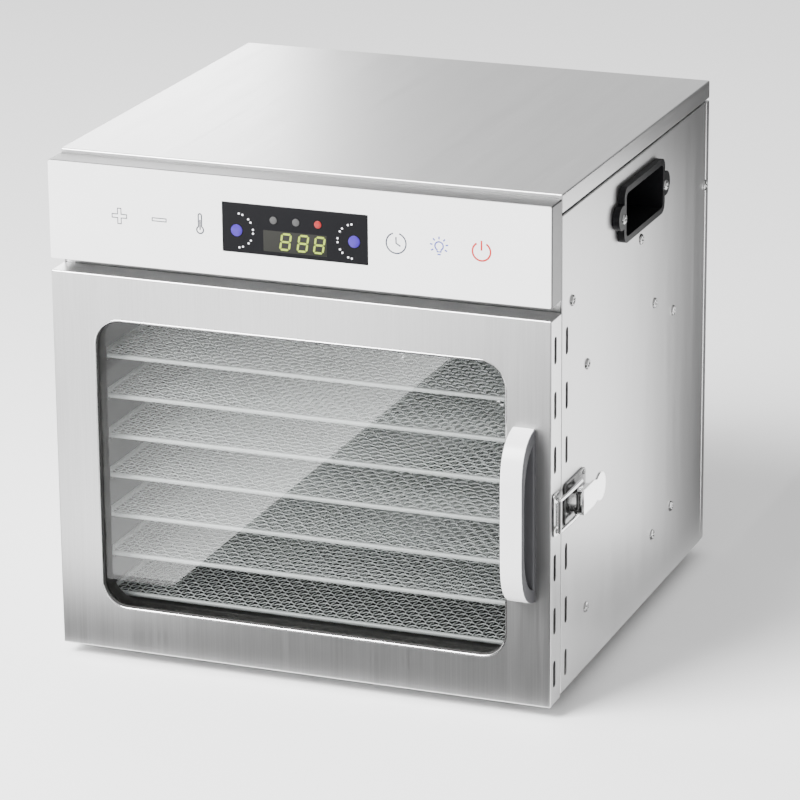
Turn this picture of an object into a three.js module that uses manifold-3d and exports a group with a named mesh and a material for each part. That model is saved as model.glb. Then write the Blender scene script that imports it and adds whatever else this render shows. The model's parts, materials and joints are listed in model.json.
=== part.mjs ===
// A cabinet food dehydrator: a steel case with seven wire trays on racks, a glazed door with a bow
// handle, a touch control panel above the door, and a fan with a ring heater behind the trays.
// Millimetres, +Z up. The door faces -Y. The origin is on the floor, under the middle of the object.
import * as THREE from "three";
import { mergeVertices } from "three/addons/utils/BufferGeometryUtils.js";
import Module from "manifold-3d";

const wasm = await Module();
wasm.setup();

// ---------------------------------------------------------------- driving sizes

// The case. Lengths along Y are measured back from the door's front face until the last step.
const WIDTH = 310;
const DEPTH = 300;
const HEIGHT = 310; // floor to the top cover
const SHEET = 1;
const FIT = 0.3; // gap kept between pieces that touch
const BASE_CLEARANCE = 9; // floor to the bottom panel
const BOTTOM_FLANGE = 12;
const COVER_FLANGE = 11.3;
const COVER_GAP = 1.2; // dark joint between the cover's flange and the side panel
const COVER_LIP = 2.4; // the cover stands this far above the control box
const BACK_WRAP = 6.5; // flanges of the back panel, folded forward
const RETURN_WIDTH = 12; // folded edges of the side panels

// The front: door below, control box above, with a gap between them.
const DOOR_CLEARANCE = 7; // floor to the door's lower edge
const DOOR_DEPTH = 18;
const DOOR_GAP = 0.6; // door's back to the case's front
const CONTROL_HEIGHT = 59.6;
const CONTROL_GAP = 7;
const FILM = 0.7; // printed film over the control box
const WINDOW_MARGIN = 27;
const WINDOW_RADIUS = 16;
const GLASS_THICKNESS = 4;
const GLASS_OVERLAP = 8;
const SEAL_THICKNESS = 1.2;
const SEAL_SHOW = 1.2; // the seal's edge that shows inside the window
const DISPLAY_WIDTH = 89.4;
const DISPLAY_HEIGHT = 29.2;

// Vent slots in the door's edges and in the side panels next to it.
const SLOT_COUNT = 7;
const SLOT_LENGTH = 16.5;
const SLOT_WIDTH = 4.4;
const SLOT_MARGIN = 19; // first slot's centre to the door's edge
const DOOR_SLOT_Y = 7;
const PANEL_SLOT_Y = 27;

// The drying chamber.
const RACK_GAP = 14; // side panel to the rack's wall
const RUNNER_WIDTH = 8;
const RUNNER_THICKNESS = 1.2;
const FRAME_LIP = 5;
const FAN_BAY = 78; // back panel to the baffle
const TRAY_COUNT = 7;
const TRAY_WIRE = 3;
const TRAY_ROD = 2; // support wires across the tray
const TRAY_RODS = 9;
const TRAY_CORNER = 4.5;
const TRAY_PLAY = 1.5; // tray to the rack's wall
const TRAY_BACK_PLAY = 3;
const TRAY_SETBACK = 6; // tray's front to the door's back
const LOWEST_TRAY = 24.5; // bottom panel to the lowest tray's middle
const HEADROOM = 56.5; // top tray's middle to the deck

// The door handle and the two handles that carry the case.
const HANDLE_LENGTH = 105;
const HANDLE_WIDTH = 14;
const HANDLE_REACH = 22;
const HANDLE_WALL = 3; // round the finger scoop
const HANDLE_SCOOP = 9; // depth of the scoop, of the handle's width
const HANDLE_FROM_EDGE = 16.2;
const CARRY_WIDTH = 78;
const CARRY_HEIGHT = 34;
const CARRY_EAR = 7.5; // radius of the ears that hold its screws
const CARRY_EAR_OUT = 2.5; // the ears' middles stand this far beyond the plate's ends
const CARRY_PROUD = 4.2;
const CARRY_DEPTH = 20;
const CARRY_WALL = 1.6;
const CARRY_RIM = 2.2; // how far the plate overlaps the side panel, outside the cup
const CARRY_Y = 156;
const CARRY_BELOW_TOP = 39;

// Hinges on the left, latch on the right.
const HINGE_HEIGHT = 36;
const LEAF_WIDTH = 13;
const LEAF_THICKNESS = 1.2;
const KNUCKLE_RADIUS = 3;
const PIN_RADIUS = 1.4;
const PIN_PLAY = 0.35;
const LATCH_WIRE = 1.2; // radius of the bail's wire
const LATCH_EYE = 2.5; // radius round the lever pin
const CHEEK = 1.2; // thickness of the lever's sides
const THUMB_RADIUS = 8.5;
const RIDGE_RADIUS = 1;
const LATCH_CRANK = 8; // lever pin to the bail's pivot
const LATCH_LEVER_LENGTH = 37; // lever pin to the end of the thumb tab
const LATCH_PIN_OUT = 5.2; // side panel to the lever pin
const LATCH_PIN_BACK = 15; // case front to the lever pin
const LATCH_CATCH_Y = 5; // the catch's ridge, back from the door's front

// The fan, its motor and the heater, on one axis along Y.
const FAN_RADIUS = 60;
const FAN_BLADES = 5;
const FAN_WIDTH = 15;
const SHAFT_RADIUS = 2.5;
const MOTOR_RADIUS = 31;
const MOTOR_LENGTH = 22;
const HEATER_RADIUS = 74;
const HEATER_TUBE = 3.3;
const HEATER_GAP = 0.16; // half the angle between the heater's two ends
const INTAKE_RADIUS = 54;
const AIR_HOLE = 5; // radius of the holes in the baffle

const FOOT_RADIUS = 9.5;
const FOOT_INSET = 30;

// ---------------------------------------------------------------- sizes worked out from them

const halfWidth = WIDTH / 2;
const caseFront = DOOR_DEPTH + DOOR_GAP;
const caseBack = DEPTH - BACK_WRAP - FIT; // rear edge of the side panels
const inside = halfWidth - SHEET - FIT; // half width of what stands against the side panels
const sideTop = HEIGHT - COVER_FLANGE - COVER_GAP;
const controlTop = HEIGHT - COVER_LIP;
const controlBottom = controlTop - CONTROL_HEIGHT;
const controlMiddle = (controlTop + controlBottom) / 2;
const doorBottom = DOOR_CLEARANCE;
const doorTop = controlBottom - CONTROL_GAP;
const doorMiddle = (doorBottom + doorTop) / 2;
const deckZ = doorTop - SHEET;
const floorZ = BASE_CLEARANCE + SHEET;
const baffleY = DEPTH - FAN_BAY;
const rackX = halfWidth - SHEET - RACK_GAP; // outer face of the rack's wall
const chamberHalf = rackX - SHEET;
const chamberBottom = floorZ + 2;
const chamberTop = deckZ - 2;
const trayHalf = chamberHalf - TRAY_PLAY;
const trayFront = DOOR_DEPTH + TRAY_SETBACK;
const trayBack = baffleY - TRAY_BACK_PLAY;
const lowestTray = BASE_CLEARANCE + LOWEST_TRAY;
const trayPitch = (deckZ - HEADROOM - lowestTray) / (TRAY_COUNT - 1);
const trayHeights = Array.from({ length: TRAY_COUNT }, (_, i) => lowestTray + i * trayPitch);
const fanZ = (floorZ + deckZ) / 2;
const backInner = DEPTH - SHEET - FIT; // inner face of the back panel, with the gap
const motorBack = backInner - 7;
const motorFront = motorBack - MOTOR_LENGTH;
const fanFront = motorFront - 4 - FAN_WIDTH;
const heaterY = baffleY + 12;
const slotPitch = (doorTop - doorBottom - 2 * SLOT_MARGIN) / (SLOT_COUNT - 1);
const slotHeights = Array.from({ length: SLOT_COUNT }, (_, i) => doorBottom + SLOT_MARGIN + i * slotPitch);
const hingeSlots = [1, SLOT_COUNT - 2]; // the hinges take the place of these slots on the left
const latchSlot = (SLOT_COUNT - 1) / 2; // and the latch of this one on the right
const glassFront = SHEET + FIT + SEAL_THICKNESS + FIT;
const glassBack = glassFront + GLASS_THICKNESS;

// ---------------------------------------------------------------- materials

const finish = (color, roughness, metalness) =>
  new THREE.MeshStandardMaterial({ color, roughness, metalness });
const brushedSteel = finish(0xc9cacb, 0.35, 1);
const plainSteel = finish(0xd6d7d8, 0.45, 1);
const innerSteel = finish(0x9a9b9c, 0.4, 1);
const chrome = finish(0xe2e3e4, 0.12, 1);
const whitePlastic = finish(0xf1f1ef, 0.35, 0);
const blackPlastic = finish(0x141414, 0.4, 0);
const whiteFilm = finish(0xefefef, 0.25, 0);
const blackWindow = finish(0x1b1b1c, 0.1, 0);
const clearGlass = finish(0xdfe9e6, 0.05, 0);
clearGlass.transparent = true;
clearGlass.opacity = 0.2;
const rubber = finish(0x222222, 0.8, 0);
const boardGreen = finish(0x1d5a35, 0.5, 0);
const heaterSteel = finish(0x5d5650, 0.5, 0.8);
const greyPlastic = finish(0x3a3b3d, 0.5, 0);
const leadSleeve = finish(0xb9b4a6, 0.7, 0);
const lampCover = finish(0xf4f0e2, 0.3, 0);

// ---------------------------------------------------------------- shaping helpers

// The closed surface of a three.js geometry, as a solid that can be joined and cut.
function solid(geometry) {
  const bare = new THREE.BufferGeometry().setAttribute("position", geometry.getAttribute("position"));
  if (geometry.index) bare.setIndex(geometry.index);
  const merged = mergeVertices(bare, 1e-4);
  const vertProperties = merged.attributes.position.array;
  const triVerts = new Uint32Array(merged.index.array);
  return new wasm.Manifold(new wasm.Mesh({ numProp: 3, vertProperties, triVerts }));
}

function geometryOf(made) {
  const mesh = made.getMesh();
  const geometry = new THREE.BufferGeometry();
  geometry.setAttribute("position", new THREE.BufferAttribute(new Float32Array(mesh.vertProperties), 3));
  geometry.setIndex(new THREE.BufferAttribute(mesh.triVerts, 1));
  const flat = geometry.toNonIndexed();
  flat.computeVertexNormals();
  return flat;
}

// One geometry made of several that run into each other.
const fuse = (...parts) => geometryOf(parts.map(solid).reduce((all, next) => all.add(next)));

// A geometry less the shapes cut out of it.
const carve = (body, ...tools) =>
  geometryOf(tools.map(solid).reduce((left, tool) => left.subtract(tool), solid(body)));

// A box from its low sides to its high sides.
function block([x0, x1], [y0, y1], [z0, z1]) {
  const box = new THREE.BoxGeometry(x1 - x0, y1 - y0, z1 - z0);
  return box.translate((x0 + x1) / 2, (y0 + y1) / 2, (z0 + z1) / 2);
}

const around = (middle, half) => [middle - half, middle + half];

// A round bar along an axis, from its middle point.
function rod(axis, radius, length, [x, y, z], sides = 16) {
  const bar = new THREE.CylinderGeometry(radius, radius, length, sides);
  if (axis === "x") bar.rotateZ(-Math.PI / 2);
  if (axis === "z") bar.rotateX(Math.PI / 2);
  return bar.translate(x, y, z);
}

// A flat outline with round corners.
function roundedRect([u0, u1], [v0, v1], radius, Kind = THREE.Shape) {
  const outline = new Kind();
  outline.moveTo(u0 + radius, v0);
  outline.lineTo(u1 - radius, v0);
  outline.absarc(u1 - radius, v0 + radius, radius, -Math.PI / 2, 0);
  outline.lineTo(u1, v1 - radius);
  outline.absarc(u1 - radius, v1 - radius, radius, 0, Math.PI / 2);
  outline.lineTo(u0 + radius, v1);
  outline.absarc(u0 + radius, v1 - radius, radius, Math.PI / 2, Math.PI);
  outline.lineTo(u0, v0 + radius);
  outline.absarc(u0 + radius, v0 + radius, radius, Math.PI, 1.5 * Math.PI);
  return outline;
}

// A hole with two round ends, long in v.
const slotHole = (u, v) =>
  roundedRect(around(u, SLOT_WIDTH / 2), around(v, SLOT_LENGTH / 2), SLOT_WIDTH / 2 - 0.01, THREE.Path);

function extruded(shape, depth, curveSegments) {
  return new THREE.ExtrudeGeometry(shape, { depth, bevelEnabled: false, curveSegments });
}

// A plate drawn in X and Z, whose front is at y.
function frontPlate(shape, y, thickness, curveSegments = 4) {
  const basis = new THREE.Matrix4().makeBasis(
    new THREE.Vector3(1, 0, 0),
    new THREE.Vector3(0, 0, 1),
    new THREE.Vector3(0, -1, 0),
  );
  return extruded(shape, thickness, curveSegments).applyMatrix4(basis).translate(0, y + thickness, 0);
}

// A plate drawn in Y and Z, whose left face is at x.
function sidePlate(shape, x, thickness, curveSegments = 4) {
  const basis = new THREE.Matrix4().makeBasis(
    new THREE.Vector3(0, 1, 0),
    new THREE.Vector3(0, 0, 1),
    new THREE.Vector3(1, 0, 0),
  );
  return extruded(shape, thickness, curveSegments).applyMatrix4(basis).translate(x, 0, 0);
}

// The same geometry on the other side of the middle plane, with its faces turned back to point out.
function mirrored(geometry) {
  const other = (geometry.index ? geometry.toNonIndexed() : geometry.clone()).scale(-1, 1, 1);
  const position = other.getAttribute("position").array;
  for (let i = 0; i < position.length; i += 9) {
    const second = position.slice(i + 3, i + 6);
    position.copyWithin(i + 3, i + 6, i + 9);
    position.set(second, i + 6);
  }
  other.computeVertexNormals();
  return other;
}

// A round lead or tube along points.
function tube(points, radius, steps, sides = 6) {
  const path = new THREE.CatmullRomCurve3(points.map((p) => new THREE.Vector3(...p)));
  const section = new THREE.Shape();
  for (let i = 0; i <= sides; i++) {
    const turn = (i / sides) * 2 * Math.PI;
    if (i === 0) section.moveTo(radius, 0);
    else if (i < sides) section.lineTo(radius * Math.cos(turn), radius * Math.sin(turn));
  }
  return new THREE.ExtrudeGeometry(section, { steps, extrudePath: path });
}

function piece(group, name, material, geometry, place = [0, 0, 0]) {
  const mesh = new THREE.Mesh(geometry, material);
  mesh.name = name;
  mesh.position.set(...place);
  group.add(mesh);
  return mesh;
}

// ---------------------------------------------------------------- case

function topCover() {
  const shell = block([-halfWidth, halfWidth], [caseFront, DEPTH], [HEIGHT - COVER_FLANGE, HEIGHT]);
  const hollow = block(
    [SHEET - halfWidth, halfWidth - SHEET],
    [caseFront + SHEET, DEPTH - SHEET],
    [HEIGHT - COVER_FLANGE - 1, HEIGHT - SHEET],
  );
  return carve(shell, hollow);
}

// The outline of a handle's opening in the side panel, a little larger than the cup in it.
const carryZ = HEIGHT - CARRY_BELOW_TOP;
const cupHalfLength = CARRY_WIDTH / 2 - CARRY_RIM;
const cupHalfHeight = CARRY_HEIGHT / 2 - CARRY_RIM;

function rightSidePanel(skippedSlots) {
  const outline = new THREE.Shape();
  outline.moveTo(caseFront, BASE_CLEARANCE);
  outline.lineTo(caseBack, BASE_CLEARANCE);
  outline.lineTo(caseBack, sideTop);
  outline.lineTo(caseFront, sideTop);
  slotHeights.forEach((z, i) => {
    if (!skippedSlots.includes(i)) outline.holes.push(slotHole(PANEL_SLOT_Y, z));
  });
  const opening = [around(CARRY_Y, cupHalfLength + FIT), around(carryZ, cupHalfHeight + FIT)];
  outline.holes.push(roundedRect(...opening, 4, THREE.Path));
  const folded = [halfWidth - RETURN_WIDTH, halfWidth - SHEET / 2];
  return fuse(
    sidePlate(outline, halfWidth - SHEET, SHEET, 2),
    block(folded, [caseBack - SHEET, caseBack], [BASE_CLEARANCE, sideTop]),
    block(folded, [caseFront + 2, caseBack], [sideTop - SHEET, sideTop]),
  );
}

const inlet = { x: halfWidth - 50, z: BASE_CLEARANCE + 36, halfWidth: 13.8, halfHeight: 10.3 };

function backPanel() {
  const shell = block([-halfWidth, halfWidth], [DEPTH - BACK_WRAP, DEPTH], [BASE_CLEARANCE, sideTop]);
  const hollow = block(
    [SHEET - halfWidth, halfWidth - SHEET],
    [DEPTH - BACK_WRAP - 1, DEPTH - SHEET],
    [floorZ, sideTop - SHEET],
  );
  const intake = rod("y", INTAKE_RADIUS, 20, [0, DEPTH, fanZ], 32);
  const inletHole = block(
    around(inlet.x, inlet.halfWidth + FIT),
    [DEPTH - 5, DEPTH + 5],
    around(inlet.z, inlet.halfHeight + FIT),
  );
  return carve(shell, hollow, intake, inletHole);
}

const plateBack = caseBack - SHEET - FIT; // rear edge of the bottom panel and the deck
const plateFront = caseFront + SHEET + FIT;

function bottomPanel() {
  const rim = BASE_CLEARANCE + BOTTOM_FLANGE;
  const shell = block([-inside, inside], [plateFront, plateBack], [BASE_CLEARANCE, rim]);
  const width = [SHEET - inside, inside - SHEET];
  const hollow = block(width, [plateFront - 1, plateBack - SHEET], [floorZ, rim + 1]);
  return carve(shell, hollow);
}

const leadHole = { x: halfWidth - 35, y: DEPTH - 36 }; // wires pass through the deck here

function deckPlate() {
  const shell = block([-inside, inside], [plateFront, plateBack], [deckZ, deckZ + 11]);
  const hollow = block(
    [SHEET - inside, inside - SHEET],
    [plateFront - 1, plateBack + 1],
    [deckZ + SHEET, deckZ + 12],
  );
  return carve(shell, hollow, rod("z", 11, 8, [leadHole.x, leadHole.y, deckZ], 16));
}

// The flat frame behind the door, with a lip folded back round the chamber's mouth.
function frontFrame() {
  const mouth = [
    [-chamberHalf, chamberHalf],
    [chamberBottom, chamberTop],
  ];
  const face = roundedRect([-inside, inside], [BASE_CLEARANCE, sideTop - SHEET - FIT], 1);
  face.holes.push(roundedRect(...mouth, 4, THREE.Path));
  face.holes.push(roundedRect([-60, 60], around(controlMiddle, 14), 3, THREE.Path));
  const lip = roundedRect([-rackX, rackX], [chamberBottom - SHEET, chamberTop + SHEET], 5);
  lip.holes.push(roundedRect(...mouth, 4, THREE.Path));
  return fuse(frontPlate(face, caseFront, SHEET), frontPlate(lip, caseFront + SHEET / 2, FRAME_LIP));
}

// ---------------------------------------------------------------- chamber

// The right rack: a wall, a runner under each tray, and two webs out to the side panel.
function rightRack() {
  const front = caseFront + SHEET + FRAME_LIP + FIT;
  const back = baffleY - FIT;
  const top = deckZ - FIT;
  const parts = [block([chamberHalf, rackX], [front, back], [floorZ + FIT, top])];
  for (const z of trayHeights) {
    const runnerTop = z - TRAY_WIRE / 2 - FIT;
    const height = [runnerTop - RUNNER_THICKNESS, runnerTop];
    parts.push(block([chamberHalf - RUNNER_WIDTH, rackX - 0.5], [front, back], height));
  }
  for (const z of [floorZ + 38, deckZ - 43]) {
    parts.push(block([rackX - 0.5, inside], [front + 16, back - 10], [z, z + SHEET]));
    parts.push(block([inside - SHEET, inside], [front + 16, back - 10], [z, z + 10]));
  }
  return fuse(...parts);
}

// Rings of holes in the baffle, as large as the heater's ring.
const airRings = [
  { radius: 26, count: 8 },
  { radius: 48, count: 14 },
  { radius: 70, count: 20 },
];

// The wall between the trays and the fan, with rings of holes for the warm air.
function fanBaffle() {
  const half = inside - SHEET - FIT;
  const height = [floorZ + FIT, deckZ - FIT];
  const plate = block([-half, half], [baffleY, baffleY + SHEET], height);
  const flange = (x) => block([x, x + SHEET], [baffleY + SHEET / 2, baffleY + 13], height);
  const holes = airRings.flatMap(({ radius, count }) =>
    Array.from({ length: count }, (_, i) => {
      const turn = ((i + 0.5) / count) * 2 * Math.PI;
      return rod("y", AIR_HOLE, 6, [radius * Math.cos(turn), baffleY, fanZ + radius * Math.sin(turn)], 12);
    }),
  );
  const probeHole = rod("y", probe.radius + FIT, 6, [probe.x, baffleY, probe.z], 12);
  return carve(fuse(plate, flange(-half), flange(half - SHEET)), ...holes, probeHole);
}

// A tray: a wire frame with round corners, and the wires that carry its mesh.
function tray() {
  const [low, high] = [trayFront, trayBack];
  const outline = roundedRect([-trayHalf, trayHalf], [low, high], TRAY_CORNER);
  const wire = TRAY_WIRE;
  const opening = [
    [wire - trayHalf, trayHalf - wire],
    [low + wire, high - wire],
  ];
  outline.holes.push(roundedRect(...opening, TRAY_CORNER - wire, THREE.Path));
  const parts = [extruded(outline, wire, 3).translate(0, 0, -wire / 2)];
  const pitch = (2 * trayHalf - wire) / (TRAY_RODS + 1);
  for (let i = 1; i <= TRAY_RODS; i++) {
    const x = -trayHalf + wire / 2 + i * pitch;
    parts.push(block(around(x, TRAY_ROD / 2), [low + wire / 2, high - wire / 2], around(0, TRAY_ROD / 2)));
  }
  return fuse(...parts);
}

// ---------------------------------------------------------------- fan, heater and electrics

const probe = { x: 104, z: fanZ + 78, radius: 2 };

function fanMotor() {
  const middle = (motorFront + motorBack) / 2;
  const can = rod("y", MOTOR_RADIUS, MOTOR_LENGTH, [0, middle, fanZ], 24);
  const boss = rod("y", 11, MOTOR_LENGTH + 4, [0, middle - 1, fanZ], 16);
  const bore = rod("y", SHAFT_RADIUS + 0.5, MOTOR_LENGTH - 2, [0, motorFront + 4, fanZ]);
  return carve(fuse(can, boss), bore);
}

function motorBracket() {
  const strap = [motorBack + 1 + FIT, motorBack + 2.5 + FIT];
  const reach = INTAKE_RADIUS + 12;
  const parts = [block([-9, 9], strap, around(fanZ, reach))];
  for (const side of [-1, 1]) {
    const end = fanZ + side * reach;
    parts.push(block([-9, 9], [strap[0], backInner], around(end, 0.75)));
    parts.push(block([-9, 9], [backInner - 1.5, backInner], around(end + side * 6, 6.5)));
  }
  return fuse(...parts);
}

const shaftEnds = [fanFront - 3, motorFront + 10];

// Five pitched blades on a hub, drawn round the origin with the axis along Y.
function fanBlade() {
  const blade = new THREE.Shape();
  blade.moveTo(8, -9);
  blade.quadraticCurveTo(36, -24, FAN_RADIUS - 4, -17);
  blade.quadraticCurveTo(FAN_RADIUS + 2, 0, FAN_RADIUS - 6, 15);
  blade.quadraticCurveTo(34, 16, 8, 8);
  const parts = [rod("y", 13, FAN_WIDTH, [0, 0, 0], 20)];
  for (let i = 0; i < FAN_BLADES; i++) {
    const one = extruded(blade, 1.4, 4).translate(0, 0, -0.7);
    one.rotateX(Math.PI / 2 - 0.42).rotateY((i / FAN_BLADES) * 2 * Math.PI);
    parts.push(one);
  }
  return carve(fuse(...parts), rod("y", SHAFT_RADIUS + FIT, FAN_WIDTH * 2, [0, 0, 0]));
}

// The tubular heater: nearly a full ring, with both ends turned back to their terminals.
function heatingElement() {
  const turns = 14;
  const ringPoint = (i) => {
    const turn = -Math.PI / 2 + HEATER_GAP + (i / turns) * 2 * (Math.PI - HEATER_GAP);
    return [HEATER_RADIUS * Math.cos(turn), heaterY, fanZ + HEATER_RADIUS * Math.sin(turn)];
  };
  const points = Array.from({ length: turns + 1 }, (_, i) => ringPoint(i));
  const leg = (point, back) => [point[0] * 0.96, heaterY + back, point[2] + 1];
  const first = points[0];
  const last = points[turns];
  return tube([leg(first, 18), leg(first, 7), ...points, leg(last, 7), leg(last, 18)], HEATER_TUBE, 44, 8);
}

// A strap on the back of the baffle that holds one side of the heater.
function heaterClip(side) {
  const saddle = side * (HEATER_RADIUS + HEATER_TUBE + FIT);
  const plate = side > 0 ? [saddle, saddle + 1.2] : [saddle - 1.2, saddle];
  const foot = side > 0 ? [saddle, saddle + 12] : [saddle - 12, saddle];
  const rest = [baffleY + SHEET + FIT, baffleY + SHEET + FIT + 1.2];
  return fuse(block(plate, [rest[0], heaterY + 5], around(fanZ, 6)), block(foot, rest, around(fanZ, 6)));
}

function thermalCutout() {
  const y = baffleY + SHEET + FIT;
  const x = -104;
  const z = probe.z;
  return fuse(
    rod("y", 8, 7, [x, y + 3.5, z], 20),
    block(around(x, 13), [y, y + 1], around(z, 5)),
    block(around(x - 4, 0.4), [y + 6, y + 14], around(z, 3)),
    block(around(x + 4, 0.4), [y + 6, y + 14], around(z, 3)),
  );
}

function temperatureProbe() {
  const { x, z, radius } = probe;
  const stem = rod("y", radius, 34, [x, baffleY - 1, z], 12);
  const collar = rod("y", 4, 3, [x, baffleY + SHEET + FIT + 1.5, z], 12);
  return fuse(stem, collar);
}

// A round wire guard over the air intake, on the outside of the back panel.
function fanGuard() {
  const y = DEPTH + FIT + 1.2;
  const ring = (radius) =>
    new THREE.TorusGeometry(radius, 1.2, 6, 28).rotateX(Math.PI / 2).translate(0, y, fanZ);
  const parts = [rod("y", 9, 1.6, [0, y, fanZ], 20)];
  for (let radius = 20; radius <= INTAKE_RADIUS + 2; radius += 12) parts.push(ring(radius));
  for (let i = 0; i < 4; i++) {
    const turn = Math.PI / 4 + (i * Math.PI) / 2;
    const arm = block([6, INTAKE_RADIUS + 8], around(0, 0.8), around(0, 1.4)).rotateY(-turn);
    parts.push(arm.translate(0, y, fanZ));
    const eye = [(INTAKE_RADIUS + 8) * Math.cos(turn), y, fanZ + (INTAKE_RADIUS + 8) * Math.sin(turn)];
    parts.push(rod("y", 4, 1.6, eye, 12));
  }
  return fuse(...parts);
}

function powerInlet() {
  const { x, z } = inlet;
  const body = fuse(
    block(around(x, inlet.halfWidth), [DEPTH - 25, DEPTH + 1], around(z, inlet.halfHeight)),
    block(around(x, inlet.halfWidth + 3), [DEPTH + FIT, DEPTH + 2.5], around(z, inlet.halfHeight + 3)),
  );
  const socket = block(around(x, 11.6), [DEPTH - 16, DEPTH + 5], around(z, 7.8));
  const blade = ([dx, dz]) => block(around(x + dx, 1), [DEPTH - 17, DEPTH - 3], around(z + dz, 2));
  const blades = [[-7, 1.5], [0, -2.5], [7, 1.5]].map(blade);
  return fuse(carve(body, socket), ...blades);
}

const board = { x: 40, y: 190, z: deckZ + 8 };

// The power supply: a board on four posts, with its transformer, capacitor, relay, terminals and heat sink.
function powerBoard() {
  const { x, y, z } = board;
  const parts = [block(around(x, 60), around(y, 40), [z, z + 1.6])];
  const postFoot = deckZ + SHEET + FIT;
  const postTop = z + 0.4;
  for (const dx of [-54, 54]) {
    for (const dy of [-34, 34]) {
      parts.push(rod("z", 3, postTop - postFoot, [x + dx, y + dy, (postTop + postFoot) / 2], 8));
    }
  }
  parts.push(block(around(x - 34, 15), around(y + 12, 13), [z + 1, z + 24]));
  parts.push(rod("z", 8, 26, [x - 6, y + 20, z + 14], 16));
  parts.push(block(around(x + 22, 9), around(y + 18, 7), [z + 1, z + 17]));
  parts.push(block(around(x + 44, 6), around(y - 10, 22), [z + 1, z + 11]));
  for (let i = 0; i < 5; i++) {
    parts.push(block(around(x - 44 + i * 5, 0.8), around(y - 20, 12), [z + 1, z + 20]));
  }
  parts.push(block(around(x - 34, 12), around(y - 20, 12), [z + 1, z + 4]));
  return fuse(...parts);
}

function lampLens() {
  const outline = roundedRect([-22, 22], [66, 78], 5.9);
  return extruded(outline, 4, 5).translate(0, 0, deckZ - FIT - 4);
}

// Wires between the electrics. Each is held all along its way, and three share the hole in the deck.
function addLeads(group) {
  const { x, y } = leadHole;
  const above = deckZ + 14;
  const under = deckZ - 16;
  const inletBack = DEPTH - 25 - FIT;
  const edge = board.x + 60 + FIT;
  const level = board.z + 5;
  const mains = [
    [inlet.x, inletBack, inlet.z], [inlet.x, inletBack - 9, inlet.z],
    [inlet.x + 10, y + 1, inlet.z + 24], [x + 5, y + 3, inlet.z + 85],
    [x + 5, y + 3, under], [x + 5, y + 2, above - 6],
    [x + 4, y - 18, above + 2], [x - 2, board.y + 14, above],
    [edge + 9, board.y - 8, level], [edge, board.y - 10, level],
  ];
  const motor = [
    [MOTOR_RADIUS + 1, motorFront + 8, fanZ + 6], [44, motorFront + 8, fanZ + 8],
    [84, y + 2, fanZ + 56], [x - 6, y + 4, under - 4],
    [x - 5, y + 4, deckZ], [x - 6, y + 1, above - 4],
    [x - 9, y - 18, above - 2], [edge + 6, board.y + 22, level],
    [edge, board.y + 20, level],
  ];
  const terminalX = HEATER_RADIUS * Math.sin(HEATER_GAP) * 0.96;
  const terminalZ = fanZ - HEATER_RADIUS * Math.cos(HEATER_GAP) + 1;
  const heater = [
    [terminalX, heaterY + 19, terminalZ], [terminalX, heaterY + 24, terminalZ],
    [58, y - 2, fanZ - 66], [x - 12, y - 6, fanZ - 20],
    [x, y - 5, under - 20], [x, y - 5, deckZ],
    [x, y - 8, above - 4], [x - 2, y - 26, above - 2],
    [edge + 8, board.y + 8, level], [edge, board.y + 5, level],
  ];
  const display = [
    [20, controlBoardBack + FIT, controlMiddle - 8], [20, caseFront + 8, controlMiddle - 8.5],
    [22, caseFront + 40, deckZ + 12], [28, board.y - 80, deckZ + 8],
    [34, board.y - 52, level], [35, board.y - 40 - FIT, level],
  ];
  piece(group, "mains_lead", leadSleeve, tube(mains, 2.4, 34));
  piece(group, "motor_lead", leadSleeve, tube(motor, 1.6, 30));
  piece(group, "heater_lead", leadSleeve, tube(heater, 1.8, 34));
  piece(group, "display_lead", leadSleeve, tube(display, 1.8, 22));
}

// ---------------------------------------------------------------- control panel

const controlFront = FILM + FIT; // front face of the steel box
const controlBoardBack = 11.6;

function controlHousing() {
  const shell = block([-halfWidth, halfWidth], [controlFront, DOOR_DEPTH], [controlBottom, controlTop]);
  const hollow = block(
    [SHEET - halfWidth, halfWidth - SHEET],
    [controlFront + SHEET, DOOR_DEPTH + 1],
    [controlBottom + SHEET, controlTop - SHEET],
  );
  const opening = block(around(0, 126), [-1, controlFront + 2], around(controlMiddle, 19));
  return carve(shell, hollow, opening);
}

function controlFilm() {
  const margin = 0.4; // the film stops just short of the box's edges
  const outline = roundedRect(
    [margin - halfWidth, halfWidth - margin], [controlBottom + margin, controlTop - margin], 2 * margin);
  const display = [around(0, DISPLAY_WIDTH / 2 + FIT), around(controlMiddle, DISPLAY_HEIGHT / 2 + FIT)];
  outline.holes.push(roundedRect(...display, 0.6, THREE.Path));
  return frontPlate(outline, 0, FILM, 2);
}

function displayWindow() {
  const outline = roundedRect(around(0, DISPLAY_WIDTH / 2), around(controlMiddle, DISPLAY_HEIGHT / 2), 0.5);
  return frontPlate(outline, 0, 1.6, 2);
}

// The board behind the film: display block, touch pads on short posts.
function controlBoard() {
  const parts = [
    block(around(0, 124), [controlBoardBack - 1.6, controlBoardBack], around(controlMiddle, 18)),
    block(around(0, 40), [1.6 + FIT, controlBoardBack - 1], around(controlMiddle, 12)),
  ];
  const padFront = FILM + FIT;
  const padBack = controlBoardBack - 1;
  for (const x of [-110, -84.5, -59, 62, 88, 113]) {
    parts.push(rod("y", 6, padBack - padFront, [x, (padBack + padFront) / 2, controlMiddle], 12));
  }
  return fuse(...parts);
}

// ---------------------------------------------------------------- door

const windowHalf = halfWidth - WINDOW_MARGIN;
const windowSpan = (grow) => [
  [-windowHalf - grow, windowHalf + grow],
  [doorBottom + WINDOW_MARGIN - grow, doorTop - WINDOW_MARGIN + grow],
];
const windowOutline = (grow, Kind) => roundedRect(...windowSpan(grow), WINDOW_RADIUS + grow, Kind);

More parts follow.
